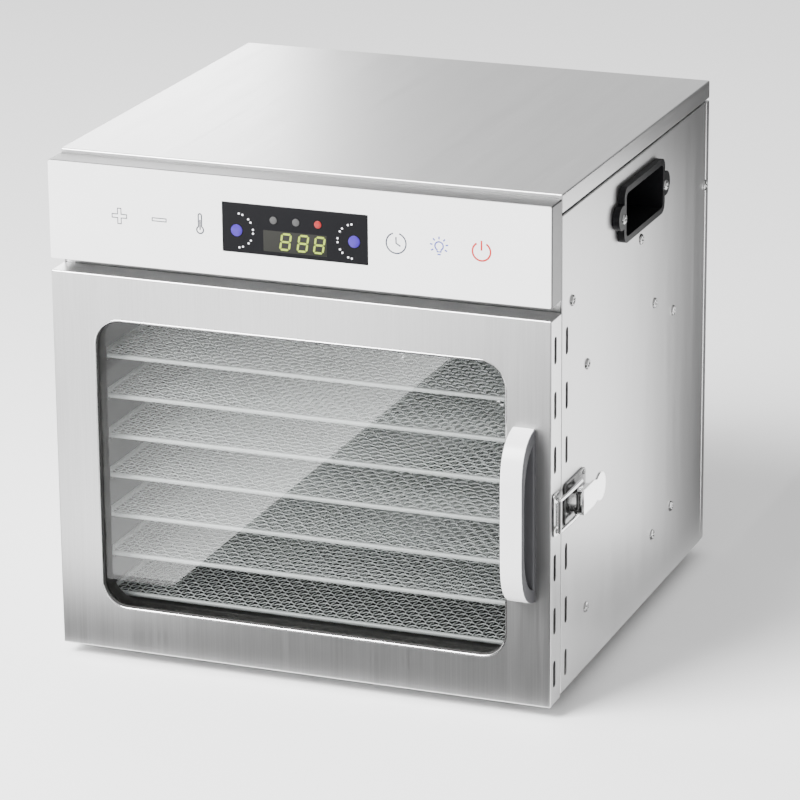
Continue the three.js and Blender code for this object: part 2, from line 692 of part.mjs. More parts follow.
// A slot-shaped cutter through the door's left or right edge.
function edgeSlot(side, z) {
  const round = SLOT_WIDTH / 2 - 0.01;
  const outline = roundedRect(around(DOOR_SLOT_Y, SLOT_WIDTH / 2), around(z, SLOT_LENGTH / 2), round);
  return sidePlate(outline, side * halfWidth - 3, 6, 2);
}

function doorSkin() {
  const shell = block([-halfWidth, halfWidth], [0, DOOR_DEPTH], [doorBottom, doorTop]);
  const hollow = block(
    [SHEET - halfWidth, halfWidth - SHEET],
    [SHEET, DOOR_DEPTH + 1],
    [doorBottom + SHEET, doorTop - SHEET],
  );
  const cutters = [hollow, frontPlate(windowOutline(0), -1, 4, 6)];
  slotHeights.forEach((z, i) => {
    if (i !== latchSlot) cutters.push(edgeSlot(1, z));
    if (!hingeSlots.includes(i)) cutters.push(edgeSlot(-1, z));
  });
  return carve(shell, ...cutters);
}

// The door's back: a plate with a collar that holds the glass against its seal.
function doorInnerPanel() {
  const half = halfWidth - SHEET - FIT;
  const face = roundedRect([-half, half], [doorBottom + SHEET + FIT, doorTop - SHEET - FIT], 1);
  face.holes.push(windowOutline(1, THREE.Path));
  const collar = windowOutline(1 + SHEET);
  collar.holes.push(windowOutline(1, THREE.Path));
  const collarFront = glassBack + FIT;
  return fuse(
    frontPlate(face, DOOR_DEPTH - SHEET - FIT, SHEET, 6),
    frontPlate(collar, collarFront, DOOR_DEPTH - SHEET / 2 - FIT - collarFront, 6),
  );
}

const doorGlass = () => frontPlate(windowOutline(GLASS_OVERLAP), glassFront, GLASS_THICKNESS, 6);

function glassSeal() {
  const ring = windowOutline(GLASS_OVERLAP - 1);
  ring.holes.push(windowOutline(-SEAL_SHOW, THREE.Path));
  return frontPlate(ring, SHEET + FIT, SEAL_THICKNESS, 6);
}

// The bow's side outline between the door and its reach, drawn smaller by less on every side.
function bowOutline(less) {
  const half = HANDLE_LENGTH / 2 - less * 3;
  const reach = HANDLE_REACH - less;
  const bow = new THREE.Shape();
  bow.moveTo(-FIT - less, -half);
  bow.bezierCurveTo(-reach * 0.75, -half + 3, -reach, -half + 14, -reach, -half + 30);
  bow.lineTo(-reach, half - 30);
  bow.bezierCurveTo(-reach, half - 14, -reach * 0.75, half - 3, -FIT - less, half);
  bow.closePath();
  return bow;
}

// The handle: a bow that is solid on the left and scooped out for the fingers on the right.
function doorHandle() {
  const bow = sidePlate(bowOutline(0), -HANDLE_WIDTH / 2, HANDLE_WIDTH, 8);
  const scoop = sidePlate(bowOutline(HANDLE_WALL), HANDLE_WIDTH / 2 - HANDLE_SCOOP, HANDLE_WIDTH, 8);
  return carve(bow, scoop);
}

// ---------------------------------------------------------------- carrying handles

// The right handle: a plate with two ears and a cup let into the case for the fingers.
function rightCarryHandle() {
  const out = halfWidth + FIT;
  const back = out - CARRY_DEPTH;
  const wall = CARRY_WALL;
  const span = (less) => [around(0, cupHalfLength - less), around(0, cupHalfHeight - less)];
  const face = roundedRect(around(0, CARRY_WIDTH / 2), around(0, CARRY_HEIGHT / 2), 6);
  const plate = sidePlate(face, out, CARRY_PROUD, 4);
  const earOut = CARRY_WIDTH / 2 + CARRY_EAR_OUT;
  const ear = (side) => rod("x", CARRY_EAR, CARRY_PROUD, [out + CARRY_PROUD / 2, side * earOut, 0], 20);
  const bezel = sidePlate(roundedRect(...span(0), 4), back, CARRY_DEPTH + 1, 3);
  const cup = sidePlate(roundedRect(...span(wall), 3), back + wall, 2 * CARRY_DEPTH, 3);
  return carve(fuse(plate, bezel, ear(-1), ear(1)), cup);
}

// ---------------------------------------------------------------- hinges

const knuckle = (HINGE_HEIGHT - 2 * FIT) / 3;
const hingeAxis = { x: -halfWidth - FIT - KNUCKLE_RADIUS, y: caseFront - DOOR_GAP / 2 };

// One leaf, drawn round the hinge's axis. side is +1 for the case's leaf and -1 for the door's.
function hingeLeaf(side, knuckleMiddles, clearedMiddles) {
  const face = KNUCKLE_RADIUS; // the case's surface lies this far to +X of the axis
  const reach = side > 0 ? [0, LEAF_WIDTH] : [-LEAF_WIDTH, 0];
  const plate = block([face - LEAF_THICKNESS, face], reach, around(0, HINGE_HEIGHT / 2));
  const rolls = knuckleMiddles.map((z) => rod("z", KNUCKLE_RADIUS, knuckle, [0, 0, z], 16));
  const clear = clearedMiddles.map((z) => rod("z", KNUCKLE_RADIUS + 0.6, knuckle + 2 * FIT, [0, 0, z], 16));
  const bore = rod("z", PIN_RADIUS + PIN_PLAY, HINGE_HEIGHT + 4, [0, 0, 0], 12);
  return carve(fuse(carve(plate, ...clear), ...rolls), bore);
}

function hingePin() {
  const half = HINGE_HEIGHT / 2 + FIT;
  return fuse(
    rod("z", PIN_RADIUS, HINGE_HEIGHT + 2 * FIT + 0.8, [0, 0, 0], 12),
    rod("z", PIN_RADIUS + 1, 1, [0, 0, half + 0.5], 12),
    rod("z", PIN_RADIUS + 1, 1, [0, 0, -half - 0.5], 12),
  );
}

function addHinge(caseGroup, doorGroup, name, z) {
  const outer = [-(knuckle + FIT), knuckle + FIT];
  const place = [hingeAxis.x, hingeAxis.y, z];
  piece(caseGroup, `${name}_hinge_case_leaf`, plainSteel, hingeLeaf(1, outer, [0]), place);
  piece(caseGroup, `${name}_hinge_pin`, chrome, hingePin(), place);
  piece(doorGroup, `${name}_hinge_door_leaf`, plainSteel, hingeLeaf(-1, [0], outer), place);
}

// ---------------------------------------------------------------- latch

// Drawn with x out from the side panel and y back from the lever pin, at the latch's middle height.
const cheekOut = 7.6; // outer face of the lever's cheeks, from the middle
const earOut = cheekOut - CHEEK - FIT;
const bailHalf = cheekOut + FIT + LATCH_WIRE + 0.3;
const bailPivot = { x: LATCH_PIN_OUT - 1, y: LATCH_CRANK };
const catchBack = LATCH_CATCH_Y - (caseFront + LATCH_PIN_BACK); // the catch's ridge, from the lever pin
const ridgeOut = 2.4;
const bailBar = { x: ridgeOut + 0.4 + LATCH_WIRE, y: catchBack - 1 };

function latchBase() {
  const plate = roundedRect([-12, 24], around(0, 13), 3);
  const parts = [sidePlate(plate, FIT, 1.2, 3)];
  for (const side of [-1, 1]) {
    const z = side > 0 ? [earOut - 1.2, earOut] : [-earOut, 1.2 - earOut];
    parts.push(block([FIT + 0.6, LATCH_PIN_OUT], around(0, LATCH_EYE), z));
    parts.push(rod("z", LATCH_EYE, 1.2, [LATCH_PIN_OUT, 0, (z[0] + z[1]) / 2], 16));
  }
  return carve(fuse(...parts), rod("z", PIN_RADIUS + PIN_PLAY, 30, [LATCH_PIN_OUT, 0, 0], 12));
}

const latchPin = () => rod("z", PIN_RADIUS, 2 * cheekOut + 0.6, [LATCH_PIN_OUT, 0, 0], 12);

// The lever: a broad body with two cheeks, a neck, and a round thumb tab.
function latchLever() {
  const tab = LATCH_LEVER_LENGTH - THUMB_RADIUS;
  const body = new THREE.Shape();
  body.moveTo(-LATCH_EYE, -cheekOut);
  body.lineTo(15, -cheekOut);
  body.bezierCurveTo(20, -cheekOut, tab - 8, -5, tab - 4.3, -THUMB_RADIUS * 0.86);
  body.absarc(tab, 0, THUMB_RADIUS, -2.1, 2.1);
  body.bezierCurveTo(tab - 8, 5, 20, cheekOut, 15, cheekOut);
  body.lineTo(-LATCH_EYE, cheekOut);
  const under = LATCH_PIN_OUT + LATCH_EYE + PIN_PLAY;
  const parts = [sidePlate(body, under, 1.4, 6)];
  for (const side of [-1, 1]) {
    const z = side > 0 ? [cheekOut - CHEEK, cheekOut] : [-cheekOut, CHEEK - cheekOut];
    parts.push(block([LATCH_PIN_OUT - LATCH_EYE, under + 0.5], [0, LATCH_CRANK + LATCH_EYE], z));
    parts.push(block([LATCH_PIN_OUT, under + 0.5], [-LATCH_EYE, 0.1], z));
    parts.push(rod("z", LATCH_EYE, CHEEK, [LATCH_PIN_OUT, 0, (z[0] + z[1]) / 2], 16));
  }
  return carve(
    fuse(...parts),
    rod("z", PIN_RADIUS + PIN_PLAY, 30, [LATCH_PIN_OUT, 0, 0], 12),
    rod("z", LATCH_WIRE + PIN_PLAY, 30, [bailPivot.x, bailPivot.y, 0], 12),
  );
}

// The bail: one wire from a cheek, forward to the catch, across, and back to the other cheek.
function latchBail() {
  const parts = [rod("z", LATCH_WIRE, 2 * bailHalf, [bailBar.x, bailBar.y, 0], 8)];
  for (const side of [-1, 1]) {
    const z = side * bailHalf;
    const middle = [(bailPivot.x + bailBar.x) / 2 + 0.3, (bailPivot.y + bailBar.y) / 2, z];
    parts.push(tube([[bailPivot.x, bailPivot.y, z], middle, [bailBar.x, bailBar.y, z]], LATCH_WIRE, 8, 8));
    parts.push(rod("z", LATCH_WIRE, 3.6, [bailPivot.x, bailPivot.y, side * (bailHalf - 1.4)], 8));
    parts.push(new THREE.SphereGeometry(LATCH_WIRE, 8, 6).translate(bailBar.x, bailBar.y, z));
    parts.push(new THREE.SphereGeometry(LATCH_WIRE, 8, 6).translate(bailPivot.x, bailPivot.y, z));
  }
  return fuse(...parts);
}

// The catch on the door's edge: a plate with a rounded ridge that the bail is drawn against.
function latchCatch() {
  const middle = LATCH_CATCH_Y + 1.6;
  const out = halfWidth + ridgeOut - RIDGE_RADIUS;
  const plate = roundedRect(around(LATCH_CATCH_Y + 2, 4.6), around(0, 13), 2);
  return fuse(
    sidePlate(plate, halfWidth + FIT, 0.9, 3),
    block([halfWidth + FIT + 0.4, out], around(middle, RIDGE_RADIUS * 0.9), around(0, 7)),
    rod("z", RIDGE_RADIUS, 14, [out, middle, 0], 12),
  );
}

// ---------------------------------------------------------------- assembly

const dehydrator = new THREE.Group();
// From here Y is measured from the middle of the object, handle and fan guard included.
const rearProud = FIT + 2.4;
dehydrator.position.y = (HANDLE_REACH - rearProud - DEPTH) / 2;

piece(dehydrator, "top_cover", brushedSteel, topCover());
const [rightSlots, leftSlots] = [[latchSlot], hingeSlots];
piece(dehydrator, "right_side_panel", plainSteel, rightSidePanel(rightSlots));
piece(dehydrator, "left_side_panel", plainSteel, mirrored(rightSidePanel(leftSlots)));
piece(dehydrator, "back_panel", plainSteel, backPanel());
piece(dehydrator, "bottom_panel", plainSteel, bottomPanel());
piece(dehydrator, "deck_plate", innerSteel, deckPlate());
piece(dehydrator, "front_frame", innerSteel, frontFrame());
piece(dehydrator, "right_tray_rack", innerSteel, rightRack());
piece(dehydrator, "left_tray_rack", innerSteel, mirrored(rightRack()));
piece(dehydrator, "fan_baffle", innerSteel, fanBaffle());

const trayShape = tray();
trayHeights.forEach((z, i) => piece(dehydrator, `tray_${i + 1}`, chrome, trayShape, [0, 0, z]));

piece(dehydrator, "fan_motor", greyPlastic, fanMotor());
piece(dehydrator, "motor_bracket", plainSteel, motorBracket());
piece(dehydrator, "fan_blade", greyPlastic, fanBlade(), [0, fanFront + FAN_WIDTH / 2, fanZ]);
const shaftLength = shaftEnds[1] - shaftEnds[0];
piece(dehydrator, "fan_shaft", chrome, rod("y", SHAFT_RADIUS, shaftLength, [0, 0, 0]), [
  0, shaftEnds[0] + shaftLength / 2, fanZ,
]);
piece(dehydrator, "heating_element", heaterSteel, heatingElement());
piece(dehydrator, "heater_clip_right", plainSteel, heaterClip(1));
piece(dehydrator, "heater_clip_left", plainSteel, heaterClip(-1));
piece(dehydrator, "thermal_cutout", blackPlastic, thermalCutout());
piece(dehydrator, "temperature_probe", chrome, temperatureProbe());
piece(dehydrator, "fan_guard", chrome, fanGuard());
piece(dehydrator, "power_inlet", blackPlastic, powerInlet());
piece(dehydrator, "power_board", boardGreen, powerBoard());
piece(dehydrator, "lamp_lens", lampCover, lampLens());
addLeads(dehydrator);

piece(dehydrator, "control_housing", brushedSteel, controlHousing());
piece(dehydrator, "control_film", whiteFilm, controlFilm());
piece(dehydrator, "display_window", blackWindow, displayWindow());
piece(dehydrator, "control_board", boardGreen, controlBoard());

const carryPlace = [0, CARRY_Y, carryZ];
piece(dehydrator, "right_carry_handle", blackPlastic, rightCarryHandle(), carryPlace);
piece(dehydrator, "left_carry_handle", blackPlastic, mirrored(rightCarryHandle()), carryPlace);

const footHeight = BASE_CLEARANCE - FIT;
const foot = new THREE.CylinderGeometry(FOOT_RADIUS, FOOT_RADIUS - 1, footHeight, 20).rotateX(Math.PI / 2);
for (const [end, y] of [["front", caseFront + FOOT_INSET], ["rear", DEPTH - FOOT_INSET]]) {
  for (const [hand, side] of [["left", -1], ["right", 1]]) {
    const place = [side * (halfWidth - FOOT_INSET), y, footHeight / 2];
    piece(dehydrator, `${end}_${hand}_foot`, rubber, foot, place);
  }
}

const door = new THREE.Group();
dehydrator.add(door);
piece(door, "door_skin", brushedSteel, doorSkin());
piece(door, "door_inner_panel", innerSteel, doorInnerPanel());
piece(door, "door_glass", clearGlass, doorGlass());
piece(door, "glass_seal", rubber, glassSeal());
piece(door, "door_handle", whitePlastic, doorHandle(), [halfWidth - HANDLE_FROM_EDGE, 0, doorMiddle]);
piece(door, "latch_catch", chrome, latchCatch(), [0, 0, doorMiddle]);
addHinge(dehydrator, door, "upper", slotHeights[hingeSlots[1]]);
addHinge(dehydrator, door, "lower", slotHeights[hingeSlots[0]]);

const latch = new THREE.Group();
latch.position.set(halfWidth, caseFront + LATCH_PIN_BACK, doorMiddle);
dehydrator.add(latch);
piece(latch, "latch_base", chrome, latchBase());
piece(latch, "latch_pin", chrome, latchPin());
piece(latch, "latch_lever", chrome, latchLever());
piece(latch, "latch_bail", chrome, latchBail());

export default dehydrator;
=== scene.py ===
# %% [markdown]
# # A food dehydrator in steel, glass and wire
#
# The object is a box oven for drying fruit. Its case is folded sheet steel, its door is a steel pan with
# a glass window, and seven wire trays stand on racks inside. A CAD model gives every part its place and
# size. Here each part gets the surface and the fine shape that CAD leaves out.

# %% Load the frame
import json
import math

import bmesh
import bpy
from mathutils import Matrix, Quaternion, Vector


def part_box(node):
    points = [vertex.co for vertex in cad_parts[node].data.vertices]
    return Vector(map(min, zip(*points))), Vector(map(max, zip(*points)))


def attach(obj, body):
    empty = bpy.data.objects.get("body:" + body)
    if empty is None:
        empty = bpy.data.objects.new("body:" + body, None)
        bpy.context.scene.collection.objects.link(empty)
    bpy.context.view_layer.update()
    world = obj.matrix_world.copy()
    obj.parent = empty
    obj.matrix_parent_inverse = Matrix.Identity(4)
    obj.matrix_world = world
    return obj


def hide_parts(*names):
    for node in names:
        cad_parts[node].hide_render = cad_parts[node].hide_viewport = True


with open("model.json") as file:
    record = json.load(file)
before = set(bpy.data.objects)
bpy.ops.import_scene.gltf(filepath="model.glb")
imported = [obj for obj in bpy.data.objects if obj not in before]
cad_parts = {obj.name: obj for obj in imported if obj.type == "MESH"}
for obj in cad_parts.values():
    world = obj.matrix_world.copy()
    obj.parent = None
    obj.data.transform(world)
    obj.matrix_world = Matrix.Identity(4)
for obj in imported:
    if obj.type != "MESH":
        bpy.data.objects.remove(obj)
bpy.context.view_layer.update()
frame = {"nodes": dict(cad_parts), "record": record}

MM = 0.001

# %% [markdown]
# ## Camera, floor and light
#
# A long lens from far away keeps the case's edges nearly parallel, as a catalogue picture does. The
# camera stands to the right of the door and looks down on it. A rolled camera could be had by tilting the
# object, but objects stay where CAD has them, so the camera itself turns by the last part of a degree.

# %% Camera
AZIMUTH, ELEVATION, ROLL = 21.14, 18.23, -0.48
DISTANCE = 2.554
LENS = 188.2
AIM = Vector((7.9, 3.6, 133.9)) * MM


def direction(azimuth, elevation):
    """The way from the object to a viewer at these angles, in degrees."""
    a, e = math.radians(azimuth), math.radians(elevation)
    return Vector((math.sin(a) * math.cos(e), -math.cos(a) * math.cos(e), math.sin(e)))


def add_camera():
    camera = bpy.data.objects.new("camera", bpy.data.cameras.new("camera"))
    bpy.context.scene.collection.objects.link(camera)
    back = direction(AZIMUTH, ELEVATION)
    camera.data.lens = LENS
    camera.location = AIM + back * DISTANCE
    camera.rotation_mode = "QUATERNION"
    level = (-back).to_track_quat("-Z", "Y")
    camera.rotation_quaternion = level @ Quaternion((0, 0, 1), math.radians(ROLL))
    bpy.context.scene.camera = camera


add_camera()
print("the camera is", DISTANCE, "m away with a", LENS, "mm lens")

# %% [markdown]
# ## Writing materials as arithmetic
#
# A shader is a graph of nodes. Placed by hand, a sum of two noises takes four clicks. Here an output
# socket is wrapped so that `1 - mask` or `grain * 0.5` adds the Math nodes by itself, and one method adds
# every other kind of node. The same two classes serve the geometry trees further down.


# %% Values and graphs
class Value:
    """An output socket that takes part in ordinary arithmetic."""

    def __init__(self, graph, socket):
        self.graph, self.socket = graph, socket

    def _math(self, operation, *terms):
        return self.graph.node("ShaderNodeMath", {"operation": operation}, dict(enumerate(terms)))

    def __add__(self, other):
        return self._math("ADD", self, other)

    def __sub__(self, other):
        return self._math("SUBTRACT", self, other)

    def __rsub__(self, other):
        return self._math("SUBTRACT", other, self)

    def __mul__(self, other):
        return self._math("MULTIPLY", self, other)

    def __truediv__(self, other):
        return self._math("DIVIDE", self, other)

    def __lt__(self, other):
        return self._math("LESS_THAN", self, other)

    def __neg__(self):
        return self._math("MULTIPLY", self, -1.0)

    def __abs__(self):
        return self._math("ABSOLUTE", self)

    def cos(self):
        return self._math("COSINE", self)

    def floor(self):
        return self._math("FLOOR", self)

    def root(self):
        return self._math("SQRT", self._math("MAXIMUM", self, 0.0))

    def highest(self, other):
        return self._math("MAXIMUM", self, other)

    def clamped(self):
        return self._math("MINIMUM", self.highest(0.0), 1.0)

    __radd__ = __add__
    __rmul__ = __mul__


class Graph:
    """A node tree that is written from Python."""

    def __init__(self, tree):
        self.tree = tree

    def node(self, kind, settings=None, inputs=None, output=0):
        """Adds a node: its settings first, then the values or links of its sockets."""
        made = self.tree.nodes.new(kind)
        for key, setting in (settings or {}).items():
            if key == "stops":
                self._ramp(made.color_ramp, setting)
            else:
                setattr(made, key, setting)
        for key, given in (inputs or {}).items():
            if isinstance(given, Value):
                self.tree.links.new(given.socket, made.inputs[key])
            else:
                made.inputs[key].default_value = given
        return Value(self, made.outputs[output]) if made.outputs else None

    def _ramp(self, ramp, stops):
        while len(ramp.elements) > 1:
            ramp.elements.remove(ramp.elements[-1])
        for i, (place, colour) in enumerate(stops):
            stop = ramp.elements[0] if i == 0 else ramp.elements.new(place)
            stop.position, stop.color = place, colour


# %% A surface finish as a graph
class Finish(Graph):
    """A surface finish: a material whose patterns are fixed to the object."""

    def __init__(self, name):
        self.material = bpy.data.materials.new(name)
        self.material.use_nodes = True
        super().__init__(self.material.node_tree)
        self.tree.nodes.clear()

    def coords(self, scale=(1, 1, 1)):
        place = self.node("ShaderNodeTexCoord", output="Object")
        return self.node("ShaderNodeMapping", {}, {"Vector": place, "Scale": scale})

    def noise(self, vector, detail=2.0, roughness=0.5, distortion=0.0):
        sizes = {"Scale": 1.0, "Detail": detail, "Roughness": roughness, "Distortion": distortion}
        return self.node("ShaderNodeTexNoise", {}, {"Vector": vector, **sizes}, "Fac")

    def mix(self, factor, low, high):
        return self.node("ShaderNodeMix", {"data_type": "RGBA"}, {0: factor, 6: low, 7: high}, 2)

    def bump(self, height, depth, strength=1.0):
        values = {"Height": height, "Distance": depth, "Strength": strength}
        return self.node("ShaderNodeBump", {}, values, "Normal")

    def skin(self, **sockets):
        """The usual surface shader. Socket names are written with _ for a space."""
        named = {key.replace("_", " "): value for key, value in sockets.items()}
        return self.node("ShaderNodeBsdfPrincipled", {}, named)

    def done(self, surface):
        self.node("ShaderNodeOutputMaterial", {}, {"Surface": surface})
        return self.material


def grey(level, warm=0.0):
    """A neutral colour, a little red and less blue when warm is above 0."""
    return (level * (1 + warm), level, level * (1 - warm), 1.0)


# %% [markdown]
# ## The finishes
#
# Brushed steel is a mirror with thousands of fine scratches that all run one way. Scratch depth could be
# modelled, but at arm's length only three things are seen: fine light and dark lines, a blurred
# reflection, and broad soft bands where the belt pressed harder. So noise that is stretched along the
# grain, at three widths, drives colour, roughness and a very shallow bump.


# %% Metals
def brushed_steel(name, along, tone=0.62, roughness=0.34, contrast=0.16):
    """Sheet steel whose grain runs along one axis: 0, 1 or 2."""
    f = Finish(name)

    def lines(width, length, detail):
        scale = [1 / width] * 3
        scale[along] = 1 / length
        return f.noise(f.coords(scale), detail)

    fine = lines(0.35 * MM, 45 * MM, 2.0)
    middle = lines(1.6 * MM, 120 * MM, 2.0)
    broad = lines(14 * MM, 300 * MM, 1.0)
    grain = fine * 0.5 + middle * 0.3 + broad * 0.2
    spread = ((grain - 0.5) * 2.2 + 0.5).clamped()
    colour = f.mix(spread, grey(tone * (1 - contrast)), grey(tone * (1 + contrast)))
    rough = (spread - 0.5) * 0.12 + roughness
    relief = f.bump(fine, 0.02 * MM, 0.35)
    return f.done(f.skin(Base_Color=colour, Metallic=1.0, Roughness=rough, Normal=relief))


def plain_steel(name, tone=0.55, roughness=0.38, warm=0.0):
    """Mill-finished sheet: a faint mottle and no grain."""
    f = Finish(name)
    mottle = f.noise(f.coords((90, 90, 90)), 4.0, 0.6)
    specks = f.noise(f.coords((1800, 1800, 1800)), 2.0)
    colour = f.mix(mottle, grey(tone * 0.9, warm), grey(tone * 1.1, warm))
    rough = mottle * 0.14 + specks * 0.06 + (roughness - 0.1)
    relief = f.bump(specks, 0.01 * MM, 0.3)
    return f.done(f.skin(Base_Color=colour, Metallic=1.0, Roughness=rough, Normal=relief))


def polished(name, tone=0.78, roughness=0.12, metal=1.0):
    """Bright plating or polished wire, a little hazy with handling."""
    f = Finish(name)
    haze = f.noise(f.coords((240, 240, 240)), 3.0, 0.55, 0.4)
    colour = f.mix(haze, grey(tone * 0.94), grey(tone * 1.04))
    rough = haze * 0.12 + (roughness - 0.04)
    relief = f.bump(f.noise(f.coords((1500, 1500, 1500)), 1.0), 0.008 * MM, 0.4)
    return f.done(f.skin(Base_Color=colour, Metallic=metal, Roughness=rough, Normal=relief))


def heat_tinted(name):
    """The heater's sheath, browned and blued by use."""
    f = Finish(name)
    patches = f.noise(f.coords((60, 60, 60)), 3.0, 0.6)
    brown, straw, blue = (0.10, 0.07, 0.05, 1), (0.16, 0.13, 0.11, 1), (0.09, 0.10, 0.14, 1)
    stops = [(0.3, brown), (0.5, straw), (0.7, blue)]
    colour = f.node("ShaderNodeValToRGB", {"stops": stops}, {"Fac": patches}, "Color")
    scale = f.bump(f.noise(f.coords((1200, 1200, 1200)), 3.0), 0.05 * MM, 0.5)
    return f.done(f.skin(Base_Color=colour, Metallic=0.8, Roughness=patches * 0.3 + 0.3, Normal=scale))


# %% [markdown]
# Moulded plastic carries the fine spark-eroded texture of its mould, and its gloss varies slightly.
# Rubber is the same idea with a coarser, duller grain. Glass needs no pattern in its body: it lets light
# straight through, and reflects more where it is seen at a slant.


# %% Plastics, rubber, glass
def shaded(colour, factor):
    """A colour with three parts made lighter or darker, as four."""
    return tuple(part * factor for part in colour[:3]) + (1,)


def moulded(name, colour, roughness=0.35, grain=0.45 * MM, depth=0.02 * MM, shine=0.5):
    """Injection-moulded plastic with a fine all-over texture."""
    f = Finish(name)
    texture = f.noise(f.coords((1 / grain,) * 3), 2.0, 0.5)
    cloud = f.noise(f.coords((35, 35, 35)), 2.0, 0.5)
    shade = f.mix(cloud, shaded(colour, 0.96), shaded(colour, 1.03))
    rough = cloud * 0.08 + texture * 0.05 + (roughness - 0.06)
    relief = f.bump(texture, depth, 0.5)
    return f.done(f.skin(Base_Color=shade, Roughness=rough, Normal=relief, Specular_IOR_Level=shine))


def rubbery(name):
    f = Finish(name)
    grain = f.noise(f.coords((900, 900, 900)), 4.0, 0.7)
    dust = f.noise(f.coords((70, 70, 70)), 2.0)
    colour = f.mix(dust, grey(0.018), grey(0.035, 0.05))
    relief = f.bump(grain, 0.08 * MM, 0.6)
    return f.done(f.skin(Base_Color=colour, Roughness=grain * 0.2 + 0.6, Normal=relief))


def clear_glass(name):
    """Float glass: clear, with a reflection that strengthens at a slant."""
    f = Finish(name)
    slant = f.node("ShaderNodeFresnel", {}, {"IOR": 1.5})
    smears = f.noise(f.coords((25, 25, 60)), 3.0, 0.6, 0.8)
    seen = f.node("ShaderNodeBsdfTransparent", {}, {"Color": (0.96, 0.975, 0.97, 1)})
    gloss = f.skin(Base_Color=grey(0.95), Metallic=1.0, Roughness=smears * 0.02)
    share = slant * 0.85
    return f.done(f.node("ShaderNodeMixShader", {}, {0: share.clamped(), 1: seen, 2: gloss}))


def circuit_green(name):
    """Solder resist over copper tracks, seen only where the case is opened."""
    f = Finish(name)
    tracks = f.node("ShaderNodeTexBrick", {}, {"Vector": f.coords((160, 160, 160)), "Scale": 1.0}, "Fac")
    colour = f.mix(tracks, (0.012, 0.10, 0.035, 1), (0.03, 0.2, 0.08, 1))
    relief = f.bump(tracks, 0.03 * MM, 0.4)
    return f.done(f.skin(Base_Color=colour, Roughness=tracks * 0.1 + 0.28, Normal=relief))


def braided(name):
    """The woven sleeve of a heat-proof lead."""
    f = Finish(name)
    place = f.coords((1, 1, 1))
    bands = {"bands_direction": "DIAGONAL", "wave_type": "BANDS"}
    one = f.node("ShaderNodeTexWave", bands, {"Vector": place, "Scale": 350.0}, "Fac")
    two = f.node("ShaderNodeTexWave", {"bands_direction": "Z"}, {"Vector": place, "Scale": 420.0}, "Fac")
    weave = one * two
    colour = f.mix(weave, (0.30, 0.28, 0.23, 1), (0.62, 0.60, 0.52, 1))
    relief = f.bump(weave, 0.2 * MM, 0.7)
    return f.done(f.skin(Base_Color=colour, Roughness=0.85 - weave * 0.1, Normal=relief))


def lit(name, colour, glow):
    """A small light behind a tinted window, a little uneven."""
    f = Finish(name)
    uneven = f.noise(f.coords((400, 400, 400)), 1.0)
    body = f.mix(uneven, shaded(colour, 0.8), shaded(colour, 1.0))
    light = {"Emission_Color": body, "Emission_Strength": glow}
    return f.done(f.skin(Base_Color=body, Roughness=uneven * 0.1 + 0.3, **light))


DOOR_STEEL = brushed_steel("door_steel", 2, tone=0.62, roughness=0.36, contrast=0.14)
COVER_STEEL = brushed_steel("cover_steel", 1, tone=0.62, roughness=0.4, contrast=0.04)
SIDE_STEEL = brushed_steel("side_steel", 2, tone=0.6, roughness=0.4, contrast=0.04)
BOX_STEEL = brushed_steel("control_box_steel", 0, tone=0.14, roughness=0.4, contrast=0.08)
SHEET_STEEL = plain_steel("sheet_steel")
# The chamber's steel is toned near black and a little warm: painted shade for the dim inside of the case.
# The bottom panel, the deck plate and the door's inner panel take it too.
CHAMBER_STEEL_PAINTED_SHADE = plain_steel("chamber_steel", tone=0.12, roughness=0.45, warm=0.05)
PLATED = polished("bright_plating")
# Near-black plating for the latch base: painted dark reflection and shade on a chrome part.
LATCH_PAINTED_DARK_REFLECTION = polished("dark_plating", tone=0.16, roughness=0.2)
# Tray wire near white and mostly non-metal: a painted sheen that stands for the glints of bright wire.
WIRE_PAINTED_SHEEN = polished("tray_wire", tone=0.96, roughness=0.4, metal=0.2)
# Screw plating toned darker than the panels it sits in: painted shade on the screw heads.
SCREW_STEEL_PAINTED_SHADE = polished("screw_steel", tone=0.36, roughness=0.2)
HEATER = heat_tinted("heater_sheath")
FILM = moulded("panel_film", (0.80, 0.80, 0.80), 0.3, depth=0.006 * MM)
HANDLE_WHITE = moulded("handle_plastic", (0.78, 0.78, 0.785), 0.26, depth=0.01 * MM)
BLACK = moulded("black_plastic", (0.008, 0.008, 0.009), 0.32, depth=0.05 * MM, shine=0.12)
GREY_PLASTIC = moulded("grey_plastic", (0.10, 0.10, 0.11), 0.5)
# Dark grey for the bow handle's right side and finger scoop: painted shade on the side away from the key.
HANDLE_PAINTED_SHADE = moulded("handle_scoop", (0.075, 0.075, 0.08), 0.5, shine=0.2)
SMOKED = moulded("smoked_window", (0.006, 0.006, 0.007), 0.15, depth=0.002 * MM, shine=0.06)
LAMP_COVER = moulded("lamp_cover", (0.8, 0.77, 0.68), 0.4)
RUBBER = rubbery("rubber")
GLASS = clear_glass("door_glass")
BOARD = circuit_green("circuit_board")
SLEEVE = braided("lead_sleeve")
print(len(bpy.data.materials), "finishes")

# %% [markdown]
# ## The studio
#
# Metal shows its surroundings more than its own colour, so the room matters as much as the lamps. One
# large soft key lights the front from the upper left, and a pale sky fills the shadows. Two further soft
# lights reach only reflections: they put a bright half on the cover and on the side. Black flags lie in
# front of the door and beside the case, as a photographer would lay them, so that the steel's lower parts
# and the glass mirror something dark. A glowing card puts one bright band on the glass. Each fades along
# one way.

# %% Floor and sky
def flat_card(name, corners, material):
    """A four-cornered sheet, such as a floor or a card that reflections see."""
    form = bmesh.new()
    form.faces.new([form.verts.new(corner) for corner in corners])
    mesh = bpy.data.meshes.new(name)
    form.to_mesh(mesh)
    form.free()
    mesh.materials.append(material)
    card = bpy.data.objects.new(name, mesh)
    bpy.context.scene.collection.objects.link(card)
    return card


